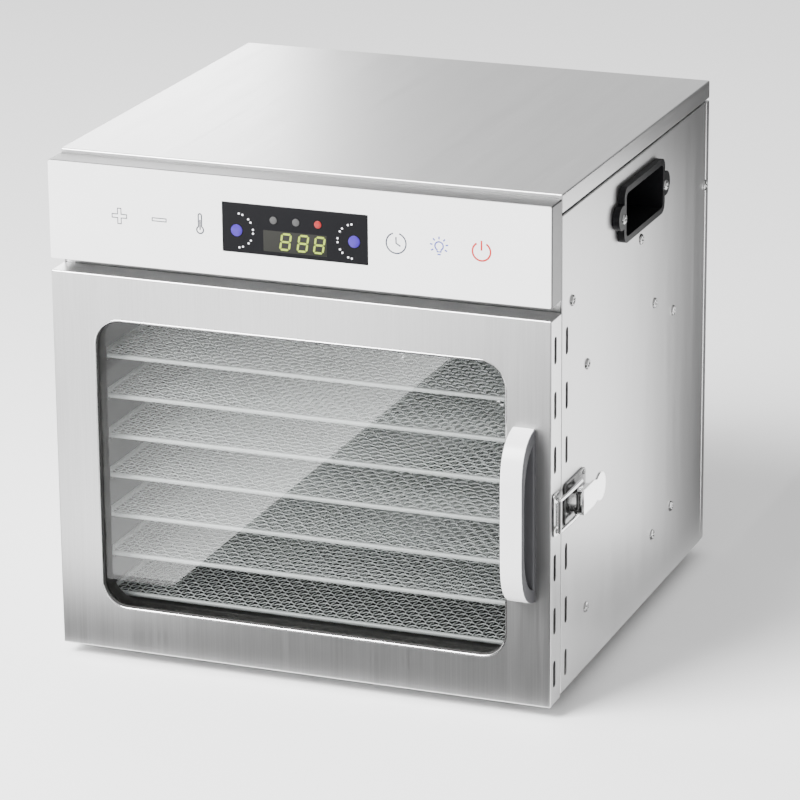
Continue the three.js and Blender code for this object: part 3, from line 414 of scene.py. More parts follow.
def seen_only_in_reflections(thing):
    thing.visible_camera = thing.visible_diffuse = thing.visible_shadow = False
    thing.visible_transmission = thing.visible_volume_scatter = False


def add_sky():
    world = bpy.data.worlds.new("sky")
    world.use_nodes = True
    background = world.node_tree.nodes["Background"]
    background.inputs["Color"].default_value = grey(0.95)
    background.inputs["Strength"].default_value = 1.0
    bpy.context.scene.world = world


floor_finish = Finish("studio_floor")
pale = floor_finish.mix(floor_finish.noise(floor_finish.coords((3, 3, 3))), grey(0.92), grey(0.95))
FLOOR = floor_finish.done(floor_finish.skin(Base_Color=pale, Roughness=0.6))
flat_card("floor", [(-6, -6, 0), (6, -6, 0), (6, 6, 0), (-6, 6, 0)], FLOOR)
add_sky()
print("the floor and the sky are pale grey")


# %% Black flags and a glowing card
def fading(f, axis, full, none):
    """1 at full and 0 at none, both of them places along an axis."""
    place = f.node("ShaderNodeSeparateXYZ", {}, {0: f.coords()}, axis)
    return ((place - none) / (full - none)).clamped()


def glowing(name, full, none, strength=4.5):
    """A soft light that fades along X, from strength at full to nothing at none."""
    f = Finish(name)
    fade = fading(f, "X", full, none)
    glow = f.mix(fade * fade, grey(0.0), grey(1.0))
    light = {"Emission_Color": glow, "Emission_Strength": strength}
    return f.done(f.skin(Base_Color=grey(0.5), Roughness=1.0, **light))


def black_cloth(name, full, none):
    """Black cloth that thins out along Y, from solid at full to nothing at none."""
    f = Finish(name)
    return f.done(f.skin(Base_Color=grey(0.01), Roughness=1.0, Alpha=fading(f, "Y", full, none)))


def lying(left, right, front, rear, height=0.002):
    """The corners of a card that lies just above the floor."""
    return [(left, front, height), (right, front, height), (right, rear, height), (left, rear, height)]


STANDING = [(0.18, 0.45, 0.0), (0.9, 0.3, 0.0), (0.9, 0.3, 0.8), (0.18, 0.45, 0.8)]
BAND_END = -0.135  # the card's bright edge, which the glass mirrors as a sharp diagonal
for name, corners, finish in [
    ("right_flag", lying(BAND_END, 0.7, -1.6, -0.15), black_cloth("right_flag", -0.55, -2.6)),
    ("left_flag", lying(-0.7, BAND_END, -1.1, -0.15), black_cloth("left_flag", -0.45, -1.1)),
    ("glass_glow", lying(-0.36, BAND_END, -1.5, -0.25, 0.004), glowing("glass_glow", BAND_END, -0.36)),
    ("rear_flag", STANDING, black_cloth("rear_flag", -1.0, 9.0)),
    ("side_flag", lying(0.17, 1.6, 0.0, 2.2), black_cloth("side_flag", 0.3, -0.2)),
]:
    seen_only_in_reflections(flat_card(name, corners, finish))


# %% Lights
def add_softbox(name, size, watts, place, aim, reflections_only=False):
    """A square area lamp at place that faces aim."""
    lamp = bpy.data.lights.new(name, "AREA")
    lamp.size, lamp.energy = size, watts
    thing = bpy.data.objects.new(name, lamp)
    thing.location = place
    thing.rotation_euler = (Vector(aim) - Vector(place)).to_track_quat("-Z", "Y").to_euler()
    bpy.context.scene.collection.objects.link(thing)
    if reflections_only:
        seen_only_in_reflections(thing)


add_softbox("key", 1.4, 270, (-1.05, -1.5, 1.95), (0, 0, 0.12))
add_softbox("cover_light", 0.4, 4.5, (-0.5, 0.55, 0.5), (-0.15, 0, 0.31), True)
add_softbox("side_light", 0.25, 0.85, (0.34, 0.12, 0.12), (0.155, -0.16, 0.2), True)

# %% [markdown]
# ## Shared ways of making a piece
#
# A CAD solid has razor edges, and real folded sheet or moulded plastic has none: the small radius catches
# a line of light that tells the eye what the thing is made of. So most pieces are a merged copy of the
# CAD solid with its edges rounded. The copy stands for the node, and rides on the same body.


# %% Piece helpers
SLOTS = {s["node"]: s["material_slot"] for s in frame["record"]["subparts"]}
BODY_OF = {n: body for body, nodes in frame["record"]["behaviour"]["bodies"].items() for n in nodes}


def settle(piece, body, slot, *nodes):
    """Says which body a piece rides on and which CAD nodes it stands for. slot is not used."""
    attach(piece, body)
    if nodes:
        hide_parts(*nodes)
    return piece


def new_piece(name, form, material):
    """Turns a bmesh into a linked object with one material."""
    mesh = bpy.data.meshes.new(name)
    form.to_mesh(mesh)
    form.free()
    mesh.materials.append(material)
    piece = bpy.data.objects.new(name, mesh)
    bpy.context.scene.collection.objects.link(piece)
    return piece


def merged_copy(node):
    """A CAD node's shape as a bmesh, with shared corners and whole flat faces."""
    form = bmesh.new()
    form.from_mesh(frame["nodes"][node].data)
    bmesh.ops.remove_doubles(form, verts=form.verts, dist=0.002 * MM)
    bmesh.ops.dissolve_limit(form, angle_limit=math.radians(1), verts=form.verts, edges=form.edges)
    return form


def smooth(piece, angle):
    """Shades gentle bends smoothly and keeps sharp ones sharp."""
    piece.data.shade_smooth()
    piece.data.set_sharp_from_angle(angle=math.radians(angle))


def sharp(edge):
    """True where two faces meet at more than 40 degrees."""
    return edge.is_manifold and edge.calc_face_angle(0) > math.radians(40)


def rounded(node, width, material, segments=2, chosen=sharp):
    """A copy of a CAD node with its edges rounded: all sharp ones, or those that chosen(edge) picks."""
    form = merged_copy(node)
    picked = [edge for edge in form.edges if chosen(edge)]
    bmesh.ops.bevel(
        form, geom=picked, offset=width, offset_type="OFFSET", segments=segments, profile=0.5,
        affect="EDGES", clamp_overlap=True, harden_normals=False,
    )
    piece = new_piece(node + "_form", form, material)
    smooth(piece, 50)
    tidy = piece.modifiers.new("even_shading", "WEIGHTED_NORMAL")
    tidy.keep_sharp = True
    return settle(piece, BODY_OF[node], SLOTS[node], node)


DRESSED = set()


def dress(node, material):
    """Gives a CAD node that keeps its own shape its finish."""
    DRESSED.add(node)
    mesh = frame["nodes"][node].data
    mesh.materials.clear()
    mesh.materials.append(material)


def outer_edges(node):
    """Picks the edges where two sides of a node's own box meet."""
    low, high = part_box(node)
    near = 0.02 * MM

    def touches(point):
        sides = [(k, 0) for k in range(3) if abs(point[k] - low[k]) < near]
        return set(sides + [(k, 1) for k in range(3) if abs(point[k] - high[k]) < near])

    return lambda edge: len(touches(edge.verts[0].co) & touches(edge.verts[1].co)) >= 2


# %% [markdown]
# ## The case
#
# The cover, the sides and the box over the door are single folded sheets. Only their outer folds are
# rounded, with the radius of a 1 mm sheet's bend. The cut edges inside stay sharp.

# %% Cover, sides, control box, back, bottom
FOLD = 1.3 * MM
for node, width, steel in [
    ("top_cover", FOLD, COVER_STEEL),
    ("right_side_panel", 0.6 * MM, SIDE_STEEL),
    ("left_side_panel", 0.6 * MM, SIDE_STEEL),
    ("control_housing", FOLD, BOX_STEEL),
    ("back_panel", FOLD, SIDE_STEEL),
    ("bottom_panel", 0.8 * MM, CHAMBER_STEEL_PAINTED_SHADE),
]:
    rounded(node, width, steel, 3, chosen=outer_edges(node))
dress("deck_plate", CHAMBER_STEEL_PAINTED_SHADE)
dress("front_frame", SHEET_STEEL)

# %% [markdown]
# ## The door
#
# The door is a shallow pan. Its two upright edges are bent over a wider radius than the case, and the
# long soft highlight down each of them is the door's most telling line. The window's cut edge has a thin
# turned rim, which is made by sweeping a round wire along the window's outline.

# %% Door shell and glass
DOOR_FOLD = 1.9 * MM
rounded("door_skin", DOOR_FOLD, DOOR_STEEL, 4, chosen=outer_edges("door_skin"))
dress("door_inner_panel", CHAMBER_STEEL_PAINTED_SHADE)
dress("door_glass", GLASS)
dress("glass_seal", RUBBER)


def rounded_outline(low, high, radius, steps=10):
    """Points round a rectangle in X and Z with round corners, from its lower right corner upwards."""
    points = []
    corners = [(high[0], low[1]), (high[0], high[1]), (low[0], high[1]), (low[0], low[1])]
    signs = [(-1, 1), (-1, -1), (1, -1), (1, 1)]
    for k, ((x, z), (sx, sz)) in enumerate(zip(corners, signs)):
        for i in range(steps + 1):
            turn = math.radians(-90 + 90 * k + 90 * i / steps)
            across = x + sx * radius + radius * math.cos(turn)
            points.append((across, z + sz * radius + radius * math.sin(turn)))
    return points


def sweep(name, points, radius, material, sides=10, closed=True, flatten=1.0):
    """A round bar along points, as a plain mesh. flatten below 1 thins it along Y."""
    curve = bpy.data.curves.new(name, "CURVE")
    curve.dimensions = "3D"
    curve.bevel_depth = radius
    curve.bevel_resolution = max(1, sides // 4)
    curve.use_fill_caps = True
    spline = curve.splines.new("POLY")
    spline.points.add(len(points) - 1)
    for spot, place in zip(spline.points, points):
        spot.co = (*place, 1)
    spline.use_cyclic_u = closed
    source = bpy.data.objects.new(name, curve)
    bpy.context.scene.collection.objects.link(source)
    graph = bpy.context.evaluated_depsgraph_get()
    mesh = bpy.data.meshes.new_from_object(source.evaluated_get(graph), depsgraph=graph)
    bpy.data.objects.remove(source)
    for vertex in mesh.vertices:
        vertex.co.y = points[0][1] + (vertex.co.y - points[0][1]) * flatten
    mesh.materials.clear()
    mesh.materials.append(material)
    mesh.shade_smooth()
    piece = bpy.data.objects.new(name, mesh)
    bpy.context.scene.collection.objects.link(piece)
    return piece


WINDOW_MARGIN, WINDOW_RADIUS, RIM = 27 * MM, 16 * MM, 0.7 * MM
door_low, door_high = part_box("door_skin")
window_low = (door_low.x + WINDOW_MARGIN, door_low.z + WINDOW_MARGIN)
window_high = (door_high.x - WINDOW_MARGIN, door_high.z - WINDOW_MARGIN)
rim_points = [
    (x, door_low.y + RIM * 0.8, z) for x, z in rounded_outline(window_low, window_high, WINDOW_RADIUS)
]
rim = sweep("window_rim", rim_points, RIM, PLATED, 12)
settle(rim, "door", SLOTS["door_skin"])
print("window", [round((b - a) / MM) for a, b in zip(window_low, window_high)], "mm")

# %% [markdown]
# ## The control panel
#
# A printed film covers the control box. Its touch marks are only ink, so they are drawn as flat strokes a
# few hundredths of a millimetre high. Round dots, segments and the display area are pads with a broken
# edge: an outline is pushed out and its rim drawn in a little. The digits show every segment, as in a
# lamp test, because no particular reading belongs to the object.


# %% Strokes and pads
film_low, film_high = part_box("control_film")
FACE = film_low.y
MIDDLE = (film_low.z + film_high.z) / 2


def arc(x, z, radius, start, end, steps=24):
    """Points on a circle in X and Z, in metres, between two angles in degrees."""
    turns = [math.radians(start + (end - start) * i / steps) for i in range(steps + 1)]
    return [(x + radius * math.cos(t), z + radius * math.sin(t)) for t in turns]


def strokes(name, lines, width, material):
    """Ink lines on the film. Each line is its points and whether it closes."""
    parts = []
    for points, closed in lines:
        track = [(x, FACE, z) for x, z in points]
        parts.append(sweep(name + "_part", track, width / 2, material, 8, closed, 0.08))
    return settle(joined(name, parts), "cabinet", "panel_film")


def joined(name, parts):
    """One plain object from several."""
    form = bmesh.new()
    for part in parts:
        form.from_mesh(part.data)
    material = parts[0].data.materials[0]
    for part in parts:
        bpy.data.objects.remove(part)
    piece = new_piece(name, form, material)
    smooth(piece, 40)
    return piece


def pads(name, outlines, height, material, base=FACE, rim=0.15 * MM):
    """Flat pads on the film, one for each outline, with a softened rim."""
    form = bmesh.new()
    for outline in outlines:
        middle = [sum(p[k] for p in outline) / len(outline) for k in (0, 1)]
        reach = max(math.dist(p, middle) for p in outline)
        inner = [tuple(m + (v - m) * (1 - rim / reach) for v, m in zip(p, middle)) for p in outline]
        levels = [(outline, base), (outline, base - height + rim * 0.5), (inner, base - height)]
        rings = [[form.verts.new((x, y, z)) for x, z in ring] for ring, y in levels]
        for low, high in zip(rings, rings[1:]):
            for i in range(len(outline)):
                j = (i + 1) % len(outline)
                form.faces.new([low[i], low[j], high[j], high[i]])
        form.faces.new(rings[-1])
        form.faces.new(rings[0][::-1])
    bmesh.ops.recalc_face_normals(form, faces=form.faces)
    piece = new_piece(name, form, material)
    smooth(piece, 30)
    return settle(piece, "cabinet", "display_black")


def ink(name, colour):
    return moulded(name, colour, 0.45, depth=0.004 * MM, shine=0.2)


GREY_INK = ink("grey_ink", (0.04, 0.042, 0.055))
DARK_INK = ink("dark_ink", (0.02, 0.022, 0.045))
BLUE_INK = ink("blue_ink", (0.03, 0.04, 0.30))
RED_INK = ink("red_ink", (0.42, 0.01, 0.01))
THIN = 0.85 * MM


# %% Touch marks
def outlined_plus(x, z, reach, half):
    corners = [(-half, -half), (-half, -reach), (half, -reach)]
    corners += [(half, -half), (reach, -half), (reach, half)]
    corners += [(-a, -b) for a, b in corners]
    return [(x + a, z + b) for a, b in corners]


def bar(x, z, half_width, half_height):
    turns = [(-1, -1), (1, -1), (1, 1), (-1, 1)]
    return [(x + a * half_width, z + b * half_height) for a, b in turns]


def spokes(x, z, inner, outer, angles):
    """Short rays round a point."""
    ends = [(math.cos(math.radians(a)), math.sin(math.radians(a))) for a in angles]
    return [([(x + c * inner, z + s * inner), (x + c * outer, z + s * outer)], False) for c, s in ends]


x, z = -109.7 * MM, MIDDLE
strokes("plus_mark", [(outlined_plus(x, z, 4.6 * MM, 1.1 * MM), True)], THIN, GREY_INK)
x = -84.5 * MM
strokes("minus_mark", [(bar(x, z, 4.4 * MM, 0.9 * MM), True)], THIN, GREY_INK)
x = -58.8 * MM
stem = arc(x, z + 5 * MM, 1.0 * MM, 0, 180, 8)
bulb = arc(x, z - 3.6 * MM, 2.1 * MM, 118, 422, 20)
level = [(x, z - 3.6 * MM), (x, z + 2.4 * MM)]
strokes("heat_mark", [(stem + bulb, True), (level, False)], THIN, GREY_INK)
x = 62 * MM
hands = [(x - 0.1 * MM, z + 3.6 * MM), (x, z), (x + 2.6 * MM, z - 1.6 * MM)]
strokes("clock_mark", [(arc(x, z, 6 * MM, 108, 432), False), (hands, False)], THIN, DARK_INK)
x = 87.9 * MM
neck = [(x - 1.1 * MM, z - 2.6 * MM), (x + 1.1 * MM, z - 2.6 * MM)]
glass = arc(x, z + 0.8 * MM, 2.5 * MM, -60, 240, 20) + neck
foot = [(x - 1 * MM, z - 4.1 * MM), (x + 1 * MM, z - 4.1 * MM)]
rays = spokes(x, z + 0.8 * MM, 4.0 * MM, 5.6 * MM, [-30, 10, 50, 90, 130, 170, 210])
strokes("lamp_mark", [(glass, True), (foot, False)] + rays, THIN, BLUE_INK)
x = 113.3 * MM
upright = [(x, z + 6.4 * MM), (x, z + 0.6 * MM)]
strokes("power_mark", [(arc(x, z, 5.4 * MM, 122, 418), False), (upright, False)], 1.1 * MM, RED_INK)

# %% Display
window_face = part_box("display_window")[0].y
LCD = moulded("display_area", (0.018, 0.018, 0.016), 0.3, depth=0.002 * MM, shine=0.1)
PURPLE = lit("violet_light", (0.028, 0.003, 0.24), 0.4)
RED_LIGHT = lit("red_light", (0.24, 0.003, 0.003), 0.4)
OFF_LIGHT = moulded("unlit_light", (0.06, 0.06, 0.06), 0.35, depth=0.01 * MM, shine=0.2)
SEGMENT = lit("segment_light", (0.24, 0.32, 0.02), 0.8)
DOT_WHITE = lit("dot_light", (0.75, 0.75, 0.78), 1.0)


def disc(x, z, radius, steps=24):
    return arc(x, z, radius, 0, 360 * (steps - 1) / steps, steps - 1)


def digit(x, z, width, height, slant=0.16, line=1.15 * MM, gap=0.25 * MM):
    """Seven pointed segments, leaning a little to the right. x and z are the lower left corner."""
    half, tip, outlines = height / 2, line / 2, []
    left, right = tip + gap, width - tip - gap
    for level in (tip, half, height - tip):
        outlines.append([
            (left, level), (left + tip, level - tip), (right - tip, level - tip),
            (right, level), (right - tip, level + tip), (left + tip, level + tip),
        ])
    for side in (tip, width - tip):
        for low, high in [(tip + gap, half - gap), (half + gap, height - tip - gap)]:
            outlines.append([
                (side, low), (side + tip, low + tip), (side + tip, high - tip),
                (side, high), (side - tip, high - tip), (side - tip, low + tip),
            ])
    return [[(x + a + b * slant, z + b) for a, b in outline] for outline in outlines]


lcd = rounded_outline((-19.4 * MM, 265.5 * MM), (19.7 * MM, 278 * MM), 0.4 * MM, 3)
pads("display_area", [lcd], 0.05 * MM, LCD, window_face, 0.02 * MM)
segments = [o for x in (-9.8, 0.9, 11.0) for o in digit(x * MM, 266.8 * MM, 6.6 * MM, 10.4 * MM)]
pads("digits", segments, 0.1 * MM, SEGMENT, window_face, 0.04 * MM)
DIALS, DIAL_LEVEL, LAMP_LEVEL = (-35.9, 36.5), 276.2, 284.2
for name, places, level, radius, finish in [
    ("violet_lights", DIALS, DIAL_LEVEL, 3.5, PURPLE),
    ("off_lights", (-13, 0.9), LAMP_LEVEL, 2.2, OFF_LIGHT),
    ("red_light", (14.4,), LAMP_LEVEL, 2.2, RED_LIGHT),
]:
    discs = [disc(x * MM, level * MM, radius * MM) for x in places]
    pads(name, discs, 0.4 * MM, finish, window_face)
DOT_ANGLES = [a + d for a in (-75, -38, 0, 38, 75) for d in (-6.5, 6.5)]
DOT_RING = 10.2
dots = []
for middle, sign in zip(DIALS, (1, -1)):
    for angle in DOT_ANGLES:
        turn = math.radians(angle)
        x = middle + sign * DOT_RING * math.cos(turn)
        z = DIAL_LEVEL + DOT_RING * math.sin(turn)
        dots.append(disc(x * MM, z * MM, 0.6 * MM, 10))
pads("scale_dots", dots, 0.12 * MM, DOT_WHITE, window_face, 0.05 * MM)
print("display:", len(segments), "segments and", len(dots), "dots")

# %% [markdown]
# ## The trays
#
# A tray is a welded ring of 3 mm wire that holds a woven mesh. In a plain weave each wire goes over one
# crossing and under the next, so its height is a cosine along it, and neighbours are half a wave apart.
# Both sets of wires follow one rule: the height is cos(x) cos(y), with the other sign for the second set.
# That rule suits Geometry Nodes, which lay out the wires, bend them and give them their thickness.


# %% Geometry trees
class Tree(Graph):
    """A geometry node group with named inputs."""

    def __init__(self, name, inputs):
        super().__init__(bpy.data.node_groups.new(name, "GeometryNodeTree"))
        self.keys = {}
        for key, (kind, value) in inputs.items():
            sort = "NodeSocket" + kind
            socket = self.tree.interface.new_socket(key, in_out="INPUT", socket_type=sort)
            self.keys[key] = socket.identifier
            if value is not None:
                socket.default_value = value
        self.tree.interface.new_socket("Geometry", in_out="OUTPUT", socket_type="NodeSocketGeometry")
        self.given = self.tree.nodes.new("NodeGroupInput")

    def __getitem__(self, key):
        return Value(self, self.given.outputs[key])

    def vector(self, x=0.0, y=0.0, z=0.0):
        return self.node("ShaderNodeCombineXYZ", {}, {0: x, 1: y, 2: z})

    def position(self):
        """The x and y of each point."""
        split = self.node("ShaderNodeSeparateXYZ", {}, {0: self.node("GeometryNodeInputPosition")})
        return split, Value(self, split.socket.node.outputs["Y"])

    def joined(self, *parts):
        join = self.tree.nodes.new("GeometryNodeJoinGeometry")
        for part in parts:
            self.tree.links.new(part.socket, join.inputs[0])
        return Value(self, join.outputs[0])

    def finish(self, geometry, material):
        smooth = self.node("GeometryNodeSetShadeSmooth", {}, {"Geometry": geometry})
        whole = self.node("GeometryNodeRealizeInstances", {}, {"Geometry": smooth})
        painted = self.node("GeometryNodeSetMaterial", {}, {"Geometry": whole, "Material": material})
        self.node("NodeGroupOutput", {}, {0: painted})

    def run(self, name, mesh=None, **values):
        """Runs the tree on a mesh and keeps the result as a plain object."""
        source = bpy.data.objects.new(name + "_source", mesh or bpy.data.meshes.new(name + "_source"))
        bpy.context.scene.collection.objects.link(source)
        modifier = source.modifiers.new("tree", "NODES")
        modifier.node_group = self.tree
        for key, value in values.items():
            modifier[self.keys[key]] = value
        source.data.update()
        graph = bpy.context.evaluated_depsgraph_get()
        made = bpy.data.meshes.new_from_object(source.evaluated_get(graph), depsgraph=graph)
        bpy.data.objects.remove(source)
        made.name = name
        piece = bpy.data.objects.new(name, made)
        bpy.context.scene.collection.objects.link(piece)
        return piece


# %% The woven tray's tree
def thick(tree, curve, radius, sides):
    """Gives a curve a round section."""
    section = tree.node("GeometryNodeCurvePrimitiveCircle", {}, {"Resolution": sides, "Radius": radius})
    return tree.node("GeometryNodeCurveToMesh", {}, {"Curve": curve, "Profile Curve": section})


def crimped_wires(tree, along):
    """One set of woven wires. along is the axis they follow: 0 for X, 1 for Y."""
    across = 1 - along
    pitches, sizes = [tree["Pitch"], tree["Row"]], [tree["Width"], tree["Depth"]]
    pitch, reach = pitches[across], sizes[along]
    half = (sizes[across] / pitch * 0.5 - 0.3).floor()
    end = [0.0, 0.0, 0.0]
    end[along] = reach * 0.5
    start = [-v if isinstance(v, Value) else v for v in end]
    line = tree.node("GeometryNodeCurvePrimitiveLine", {}, {
        "Start": tree.vector(*start), "End": tree.vector(*end)})
    steps = (reach / pitches[along] * 2.0).floor() + 1.0
    fine = tree.node("GeometryNodeResampleCurve", {}, {"Curve": line, "Count": steps})
    first, step = [0.0] * 3, [0.0] * 3
    first[across], step[across] = -(half * pitch), pitch
    spots = tree.node("GeometryNodeMeshLine", {}, {
        "Count": half * 2.0 + 1.0, "Start Location": tree.vector(*first), "Offset": tree.vector(*step)})
    copies = tree.node("GeometryNodeInstanceOnPoints", {}, {"Points": spots, "Instance": fine})
    real = tree.node("GeometryNodeRealizeInstances", {}, {"Geometry": copies})
    x, y = tree.position()
    wave = (x / tree["Pitch"] * math.pi).cos() * (y / tree["Row"] * math.pi).cos()
    lift = wave * tree["Crimp"] * (1.0 if along == 0 else -1.0)
    bent = tree.node("GeometryNodeSetPosition", {}, {
        "Geometry": real, "Offset": tree.vector(0.0, 0.0, lift)})
    return thick(tree, bent, tree["Wire"], 5)


def woven_tray():
    """The tree that makes a whole tray at a given place."""
    tree = Tree("woven_tray", {
        "Width": ("Float", 0.27), "Depth": ("Float", 0.19), "Pitch": ("Float", 4.2 * MM),
        "Row": ("Float", 5.6 * MM), "Wire": ("Float", 0.42 * MM), "Crimp": ("Float", 0.6 * MM),
        "Ring": ("Float", 1.5 * MM), "Corner": ("Float", 3 * MM), "Place": ("Vector", None),
        "Material": ("Material", None),
    })
    outline = tree.node("GeometryNodeCurvePrimitiveQuadrilateral", {}, {
        "Width": tree["Width"], "Height": tree["Depth"]})
    soft = tree.node("GeometryNodeFilletCurve", {"mode": "POLY"}, {
        "Curve": outline, "Radius": tree["Corner"], "Count": 6})
    ring = thick(tree, soft, tree["Ring"], 14)
    whole = tree.joined(crimped_wires(tree, 0), crimped_wires(tree, 1), ring)
    moved = tree.node("GeometryNodeTransform", {}, {
        "Geometry": whole, "Translation": tree["Place"]})
    tree.finish(moved, tree["Material"])
    return tree


TRAY_COUNT = 7
tray_tree = woven_tray()
for node in [f"tray_{k}" for k in range(1, TRAY_COUNT + 1)]:
    low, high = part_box(node)
    ring = (high.z - low.z) / 2
    tray = tray_tree.run(
        node + "_wire", Width=high.x - low.x - 2 * ring, Depth=high.y - low.y - 2 * ring,
        Ring=ring, Place=tuple((low + high) / 2), Material=WIRE_PAINTED_SHEEN,
    )
    settle(tray, node, SLOTS[node], node)

# %% [markdown]
# ## The handle, the carrying handles, the latch and the hinges
#
# The white bow is one thick moulding with a finger scoop in its right side. The scoop and every face that
# turns to the right are painted dark grey: painted shade on the side away from the key. All its edges are
# broken by about a millimetre, as are those of the carrying handles. Latch and hinge parts are stamped
# from plate, and a stamped edge is broken by only a fraction of a millimetre. Feet are turned rubber. The
# parts inside keep their CAD shape: they are small and half hidden, and a finish is all that is seen of
# them.

# %% The bow handle
bow_low, bow_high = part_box("door_handle")
NEAR = 0.05 * MM


def bow_edge(edge):
    """The bow's edges on its left and right, but none at its foot and none deep in the finger scoop."""
    low, high = sorted((v.co.x for v in edge.verts))
    on_side = low > bow_high.x - NEAR or high < bow_low.x + NEAR
    at_foot = min(v.co.y for v in edge.verts) >= bow_high.y - NEAR
    return on_side and not at_foot and edge.calc_face_angle(0) > math.radians(69)


bow = rounded("door_handle", 0.9 * MM, HANDLE_WHITE, 4, chosen=bow_edge)
bow.data.materials.append(HANDLE_PAINTED_SHADE)
# Faces right of the bow's middle, and faces that turn to the right, take the dark grey as painted shade.
painted_shade_side = (bow_low.x + bow_high.x) / 2 + 1.0 * MM
for face in bow.data.polygons:
    face.material_index = int(face.center.x > painted_shade_side or face.normal.x > 0.7)
print("the bow has", sum(face.material_index for face in bow.data.polygons), "grey faces")

# %% Small mouldings, stampings and feet
for node, radius, finish in [
    ("right_carry_handle", 0.9 * MM, BLACK),
    ("left_carry_handle", 0.9 * MM, BLACK),
    # The latch base's near-black plating is painted dark reflection and shade.
    ("latch_base", 0.3 * MM, LATCH_PAINTED_DARK_REFLECTION),
    ("latch_lever", 0.35 * MM, PLATED),
    ("latch_catch", 0.25 * MM, PLATED),
    ("power_inlet", 0.6 * MM, BLACK),
    ("control_film", 0.2 * MM, FILM),
    ("display_window", 0.3 * MM, SMOKED),
]:
    rounded(node, radius, finish, 2)
for node in [n for n in frame["nodes"] if "hinge" in n and "pin" not in n]:
    rounded(node, 0.3 * MM, SHEET_STEEL, 2)
for node in [n for n in frame["nodes"] if n.endswith("foot")]:
    rounded(node, 1.0 * MM, RUBBER, 3)

# %% Finishes for the nodes that keep their shape
INSIDE = {
    "plated_steel": PLATED, "case_steel": SHEET_STEEL, "inner_steel": CHAMBER_STEEL_PAINTED_SHADE, "tray_wire": WIRE_PAINTED_SHEEN,
    "black_plastic": BLACK, "grey_plastic": GREY_PLASTIC, "circuit_board": BOARD, "lead_sleeve": SLEEVE,
    "heater_sheath": HEATER, "lamp_cover": LAMP_COVER, "rubber": RUBBER, "brushed_steel": BOX_STEEL,
    "white_plastic": HANDLE_WHITE, "door_glass": GLASS, "panel_film": FILM, "display_black": SMOKED,
}
for name, shown in frame["nodes"].items():
    if not shown.hide_render and name not in DRESSED:
        dress(name, INSIDE[SLOTS[name]])
print("CAD nodes that keep their shape:", sum(not o.hide_render for o in frame["nodes"].values()))

# %% [markdown]
# ## Screws
#
# Every fastener is the same pan-head screw at a different size and place, and its cross slot points
# wherever it happened to stop turning. A grid is squeezed into a disc, raised into a dome and cut by a
# cross; a point cloud carries the places and the way that each head faces. Two runs make two pieces,
# because the door's screws swing with the door.


# %% A screw head's tree
def screw_tree():
    """A head on every vertex of the mesh, facing the vertex's facing vector."""
    tree = Tree("screw_heads", {
        "Mesh": ("Geometry", None), "Height": ("Float", 0.45), "Slot": ("Float", 0.16),
        "Reach": ("Float", 0.6), "Deep": ("Float", 0.3), "Seed": ("Int", 7),
        "Material": ("Material", None),
    })
    cells = {"Size X": 2.0, "Size Y": 2.0, "Vertices X": 25, "Vertices Y": 25}
    sheet = tree.node("GeometryNodeMeshGrid", {}, cells)
    x, y = tree.position()
    u, v = x * (1.0 - y * y * 0.5).root(), y * (1.0 - x * x * 0.5).root()
    far = u * u + v * v
    dome = (1.0 - far * far).root() * tree["Height"]
    near_u, near_v = abs(u), abs(v)
    across = (near_u < tree["Slot"]) * (near_v < tree["Reach"])
    along = (near_v < tree["Slot"]) * (near_u < tree["Reach"])
    lift = dome - across.highest(along) * tree["Deep"]
    head = tree.node("GeometryNodeSetPosition", {}, {
        "Geometry": sheet, "Position": tree.vector(u, v, lift)})
    named = "GeometryNodeInputNamedAttribute"
    facing = tree.node(named, {"data_type": "FLOAT_VECTOR"}, {"Name": "facing"})
    size = tree.node(named, {"data_type": "FLOAT"}, {"Name": "size"})
    turned = tree.node("FunctionNodeAlignRotationToVector", {"axis": "Z"}, {"Vector": facing})
    any_turn = {3: 3.14, "Seed": tree["Seed"]}
    spin = tree.node("FunctionNodeRandomValue", {"data_type": "FLOAT"}, any_turn, 1)
    stopped = tree.node("FunctionNodeAxisAngleToRotation", {}, {"Axis": (0, 0, 1), "Angle": spin})
    both = tree.node("FunctionNodeRotateRotation", {"rotation_space": "LOCAL"}, {0: turned, 1: stopped})
    copies = tree.node("GeometryNodeInstanceOnPoints", {}, {
        "Points": tree["Mesh"], "Instance": head, "Rotation": both, "Scale": size})
    tree.finish(copies, tree["Material"])
    return tree


def point_cloud(name, screws):
    """Vertices that carry a facing vector and a size, from (place, facing, radius) in millimetres."""
    mesh = bpy.data.meshes.new(name)
    mesh.from_pydata([Vector(place) * MM for place, _, _ in screws], [], [])
    facing = mesh.attributes.new("facing", "FLOAT_VECTOR", "POINT")
    facing.data.foreach_set("vector", [v for _, way, _ in screws for v in way])
    size = mesh.attributes.new("size", "FLOAT", "POINT")
    size.data.foreach_set("value", [radius * MM for _, _, radius in screws])
    return mesh


# %% Where the screws sit
def face_mm(node, axis, side):
    """Where a node's outermost surface lies along one axis, in millimetres."""
    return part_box(node)[side][axis] / MM


def middle_mm(node, axis):
    """Where a node's middle lies along one axis, in millimetres."""
    return (face_mm(node, axis, 0) + face_mm(node, axis, 1)) / 2


